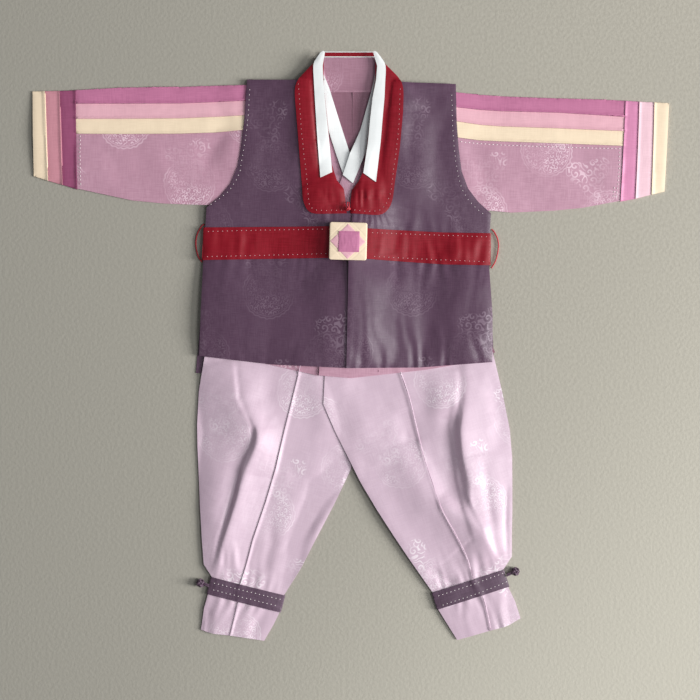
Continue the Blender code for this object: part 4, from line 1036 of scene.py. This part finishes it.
# %% Trouser seams and cuff piping
SUNK_SHARE = 0.88
SEAMS = {
    "trouser_seam_left": ("lilac_satin", 0.5, [
        (-58.5, -22), (-68, -60), (-77, -96), (-81.6, -116), (-87.4, -141), (-99, -180), (-114, -224),
        (-121.5, -253), (-126, -267)]),
    "trouser_seam_left_foot": ("lilac_satin", 0.5, [(-131.8, -298.5), (-135, -312.5), (-140.3, -334)]),
    "trouser_seam_right": ("lilac_satin", 0.5, [
        (57.4, -29), (67.5, -58), (77.4, -98), (84.9, -128), (94.4, -157), (105, -188), (121.9, -219),
        (133.8, -243), (139.6, -261)]),
    "trouser_seam_right_foot": ("lilac_satin", 0.5, [(154, -292.5), (157.5, -304.5), (162.3, -328)]),
    "neck_seam": ("mauve_silk", 0.45, [(-22, 296.4), (2, 296), (25, 296.2)]),
    # these three seams take the lining's darker mauve, which is painted shade
    "centre_back_seam": ("mauve_lining", 0.4, [(2.4, 295.5), (2.2, 275), (2, 248)]),
    "hem_seam_left": ("mauve_lining", 0.4, [(-36.6, -27.6), (-36.8, -32)]),
    "hem_seam_right": ("mauve_lining", 0.4, [(32, -27.4), (32.2, -31)]),
    "piping_left_cream": ("cream_silk", 0.45, [(-355.4, 294.5), (-353.6, 245), (-352, 193.8)]),
    "piping_left_pink": ("dusty_silk", 0.45, [(-338.4, 294.8), (-336.4, 243), (-335, 189)]),
    "piping_right_magenta": ("magenta_silk", 0.5, [(335.1, 282.5), (333, 228), (331, 173)]),
    "piping_right_pink": ("pink_silk", 0.5, [(352.6, 281.8), (351, 230), (349.6, 178)]),
}
for name, (finish, radius, points) in SEAMS.items():
    bm = laid_rod(points, radius * MM)
    add_grain(bm)
    place_piece(bm, name, finish)
print(len(SEAMS), "seams and pipings")

# %% [markdown]
# ## Hand stitches
# Pick stitches are small: the thread comes up, goes over a thread or two of the cloth and dives in again, so
# each shows as a short bead. One bead is a low icosphere pulled long, and it is set hundreds of times along
# the rows, each on the cloth's surface and turned along its row, with a slight hand-made unevenness.

# %% Rows of stitches
# for each set of rows: its thread, how far apart the stitches are, how long one is, and where the rows run
STITCH_ROWS = {
    "collar_stitches": ("pink_stitch_thread", 5.8, 1.25, COLLAR_ROWS),
    "belt_stitches": ("pink_stitch_thread", 5.5, 1.6, BELT_ROWS),
    "armhole_stitches": ("stitch_thread", 5.9, 1.3, [
        [(-117.2, 300.3), (-118.4, 278.1), (-120.7, 251.4), (-125.4, 222.3), (-128.3, 204.8),
         (-132.9, 193.2), (-140.5, 181.6), (-151, 172.2), (-165.5, 162.2)],
        [(117, 294), (117.8, 263), (119, 239.7), (120.7, 222.3), (123.6, 202.5), (128.3, 183.9),
         (135.3, 171.1), (143.4, 161.8), (156.5, 151)]]),
    "sleeve_stitches": ("stitch_thread", 4.6, 2.5, [
        [(-314.3, 246), (-314.6, 215), (-314, 186)],
        [(126, 237.4), (167.9, 233.9), (243.5, 231), (313.3, 229.3)],
        [(312.2, 227), (311, 195.5), (308.3, 171)],
        [(306.2, 186), (305.2, 171.5)]]),
    "ankle_stitches": ("stitch_thread", 4.9, 1.8, [
        [(-160.8, -274.6), (-120, -284.6), (-80.4, -294.4)],
        [(-161.5, -282.4), (-121, -292.6), (-83.6, -302)],
        [(99.6, -290.6), (140, -277), (177.6, -263.4)],
        [(104.6, -301.2), (144, -288), (181.5, -273.6)]]),
}
for name, (finish, pitch, size, rows) in STITCH_ROWS.items():
    bm = bmesh.new()
    count = 0
    for row in rows:
        for place, ahead in walk(row, pitch):
            uneven = noise.noise(Vector((place.x * 900, place.y * 900, count)))
            height, normal = top_of_pile(place.x, place.y)
            side = normal.cross(ahead).normalized()
            front = side.cross(normal)
            turn = Matrix((front, side, normal)).transposed().to_4x4()
            turn @= Matrix.Rotation(uneven * 0.25, 4, "Z")
            bead = Matrix.Diagonal((size * (0.5 + 0.1 * uneven) * MM, 0.48 * MM, 0.42 * MM, 1))
            middle = Vector((place.x, place.y, height + 0.12 * MM)) + side * uneven * 0.35 * MM
            bmesh.ops.create_icosphere(bm, subdivisions=1, radius=1,
                                       matrix=Matrix.Translation(middle) @ turn @ bead)
            count += 1
    add_grain(bm)
    place_piece(bm, name, finish)
    print(f"{name}: {count}")

# %% [markdown]
# ## The patchwork buckle
# The buckle is a padded square sewn from patches: cream corners, a pink diamond and a magenta square. The pad
# is a rounded square with a soft crown. The patches are crowned the same way, lie on it, and are sewn down
# round their edges, so each edge dips into a seam. A square's corners are bevelled, its face is cut into
# fine cells, and heights then follow from how near a point is to the edge. The rim's edges carry the bevel
# weight, so that the last bevel rounds them and nothing else.

# %% Pad and patches
BUCKLE_CENTRE = Vector((-3.0, 120.8))
BUCKLE_TURN = -1.5
PAD_SIZE, PAD_THICKNESS, PAD_CROWN = 43.6, 2.4, 0.8
SEAM_WIDTH, GROOVE_REACH = 1.6, 25.5
under = [top_of_pile((BUCKLE_CENTRE.x + x) * MM, (BUCKLE_CENTRE.y + y) * MM)[0]
         for x in range(-21, 22, 3) for y in range(-21, 22, 3)]
PAD_EDGE = max(under) / MM + PAD_THICKNESS + 0.2 - PAD_CROWN / 4
print(f"the buckle's edge lies {PAD_EDGE:.1f} mm up")


def unfold(bm):
    """Evens out the few cells near a corner that turned over when the others were evened out."""
    for _ in range(24):
        bm.normal_update()
        folded = {vert for edge in bm.edges if len(edge.link_faces) == 2
                  and edge.link_faces[0].normal.dot(edge.link_faces[1].normal) < -0.1 for vert in edge.verts}
        bmesh.ops.smooth_vert(bm, verts=[vert for vert in inner_verts(bm) if vert in folded], factor=0.8,
                              use_axis_x=True, use_axis_y=True)


def patch(name, node, finish, size, corner, turn, shift, above, puff, seam, thickness, cell, waves=0.0,
          groove=0.0):
    """A square patch of cloth with rounded corners, bent over the pad's crown and drawn down at its edge.
    shift is its place on the pad, above how far it lies over the pad, and puff how full it is."""
    bm = bmesh.new()
    bmesh.ops.create_grid(bm, x_segments=1, y_segments=1, size=size / 2 * MM)
    bmesh.ops.bevel(bm, geom=list(bm.verts), offset=corner * MM, offset_type="OFFSET", segments=6,
                    profile=0.5, affect="VERTICES", material=-1)
    bmesh.ops.poke(bm, faces=list(bm.faces))
    bmesh.ops.triangulate(bm, faces=list(bm.faces))
    make_fine(bm, cell * MM)
    for _ in range(6):
        bmesh.ops.smooth_vert(bm, verts=inner_verts(bm), factor=0.5, use_axis_x=True, use_axis_y=True)
    unfold(bm)
    half, lean = size / 2, Matrix.Rotation(math.radians(turn), 2)
    for vert in bm.verts:
        x, y = abs(vert.co.x) / MM, abs(vert.co.y) / MM
        past = math.hypot(max(0, x - half + corner), max(0, y - half + corner))
        edge = min(half - x, half - y) if past == 0 else corner - past
        on_pad = lean @ vert.co.xy / MM + Vector(shift)
        crown = PAD_CROWN * (1 - (max(abs(on_pad.x), abs(on_pad.y)) / (PAD_SIZE / 2)) ** 2)
        rise = crown + above + puff * (1 - (max(x, y) / half) ** 2)
        rise -= seam * max(0, 1 - edge / SEAM_WIDTH) ** 2
        rise += waves * noise.noise(Vector((vert.co.x * 420, vert.co.y * 110, size)))
        rise -= groove * math.exp(-((abs(on_pad.x) + abs(on_pad.y) - GROOVE_REACH) / 0.7) ** 2)
        vert.co.z = (PAD_EDGE + rise) * MM
    turn += BUCKLE_TURN
    centre = BUCKLE_CENTRE + Matrix.Rotation(math.radians(BUCKLE_TURN), 2) @ Vector(shift)
    place = Matrix.Translation((centre * MM).to_3d()) @ Matrix.Rotation(math.radians(turn), 4, "Z")
    bmesh.ops.transform(bm, matrix=place, verts=bm.verts)
    bmesh.ops.recalc_face_normals(bm, faces=bm.faces)
    if sum(face.normal.z for face in bm.faces) < 0:
        bmesh.ops.reverse_faces(bm, faces=bm.faces)
    add_grain(bm, turn, BUCKLE_CENTRE)
    rim = bm.edges.layers.float.new("bevel_weight_edge")
    for edge in bm.edges:
        edge[rim] = float(edge.is_boundary)
    area = min(sum(face.calc_area() for face in bm.faces), (size * MM) ** 2)
    piece = place_piece(bm, name, finish, [node])
    wall = piece.modifiers.new("wall", "SOLIDIFY")
    wall.thickness, wall.offset = thickness * MM, -1
    rounding = piece.modifiers.new("rounding", "BEVEL")
    rounding.width, rounding.segments, rounding.limit_method = 0.25 * thickness * MM, 3, "WEIGHT"
    return piece, area


pad, _ = patch("buckle_pad", "belt_buckle", "cream_silk", PAD_SIZE, 2.6, 0, (0, 0), 0.0, 0.0, 0.4,
               PAD_THICKNESS, 1.5, groove=0.22)
for name, node, finish, size, turn, shift, above, waves in (
        ("diamond_patch", "buckle_diamond", "pink_silk", 28.6, 45, (-0.4, -0.3), 0.30, 0.12),
        ("centre_patch", "buckle_centre", "magenta_silk", 24.0, 0, (1.0, -0.5), 0.9, 0.16)):
    piece, area = patch(name, node, finish, size, 0.5, turn, shift, above, 0.25, 0.16, 0.2, 1.7, waves)
    print(f"{name}: {size} mm square, turned {turn} degrees on the pad")

# %% [markdown]
# ## The knot buttons
# A knot button is one cord worked into a round Turk's head knot: it runs round the ball again and again, and
# swings from pole to pole as it goes, over one strand and under the next. So the route is a curve on a sphere
# whose longitude turns several times while its latitude swings, and a rod follows it. A small core fills the
# middle, and a short doubled stem goes back to the band.

# %% Knots
def knot_ball(centre, size, strand, turns=3, swings=4, steps=240):
    """A ball woven from one strand, with its core."""
    route = []
    for step in range(steps + 1):
        t = math.tau * step / steps
        latitude = 1.08 * math.sin(swings * t)
        weave_out = size * (1 + 0.13 * math.cos(2 * swings * t + math.pi / 4))
        longitude = turns * t
        route.append(centre + Vector((math.cos(latitude) * math.cos(longitude),
                                      math.cos(latitude) * math.sin(longitude),
                                      math.sin(latitude))) * weave_out)
    ball = rod_along(route, strand, sides=8, dent=0.12, pitch=1.6)[0]
    core = bmesh.new()
    bmesh.ops.create_icosphere(core, subdivisions=3, radius=size * 0.98, matrix=Matrix.Translation(centre))
    return [ball, core]


# for each ankle button: its cloth, its CAD node, its middle, its radius, its strand's radius, and its stem
KNOTS = {
    "ankle_button_left": ("purple_silk", "ankle_knot_left", (-174.6, -275.15, 5.0), 3.7, 1.25,
                          [(-171.5, -275.6, 5.4), (-168.8, -276.6, 6.0), (-164.5, -278.4, 6.0)]),
    "ankle_button_right": ("purple_silk", "ankle_knot_right", (191.1, -261.75, 5.0), 3.7, 1.25,
                           [(187.8, -262.9, 5.4), (184.9, -264.2, 6.0), (180.5, -266.0, 6.0)]),
}
for name, (finish, node, centre, size, strand, stem) in KNOTS.items():
    parts = knot_ball(Vector(centre) * MM, size * MM, strand * MM)
    for shift in (-0.9, 0.9):
        line = smooth_route([Vector(point) + Vector((0, shift, 0)) for point in stem], 6)
        parts.append(rod_along(line, 1.05 * MM, dent=0.12, pitch=2.4)[0])
    bm = join_meshes(parts)
    add_grain(bm)
    place_piece(bm, name, finish, [node])
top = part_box("collar_knot")[1].z
parts = knot_ball(Vector((-3.0, 158.6, 0)) * MM + Vector((0, 0, top - 3.0 * MM)), 2.1 * MM, 0.75 * MM, 2, 3)
for shift in (-0.8, 0.8):
    line = [Vector((-3 + shift, 159.5, top / MM - 2.6)), Vector((-3 + 1.5 * shift, 163, top / MM - 3.6)),
            Vector((-3 + 0.8 * shift, 166.5, top / MM - 5.2))]
    parts.append(rod_along(smooth_route(line, 6), 0.7 * MM, dent=0.12, pitch=2.0)[0])
bm = join_meshes(parts)
add_grain(bm)
place_piece(bm, "collar_button", "red_thread", ["collar_knot"])
print(len(KNOTS) + 1, "knot buttons")
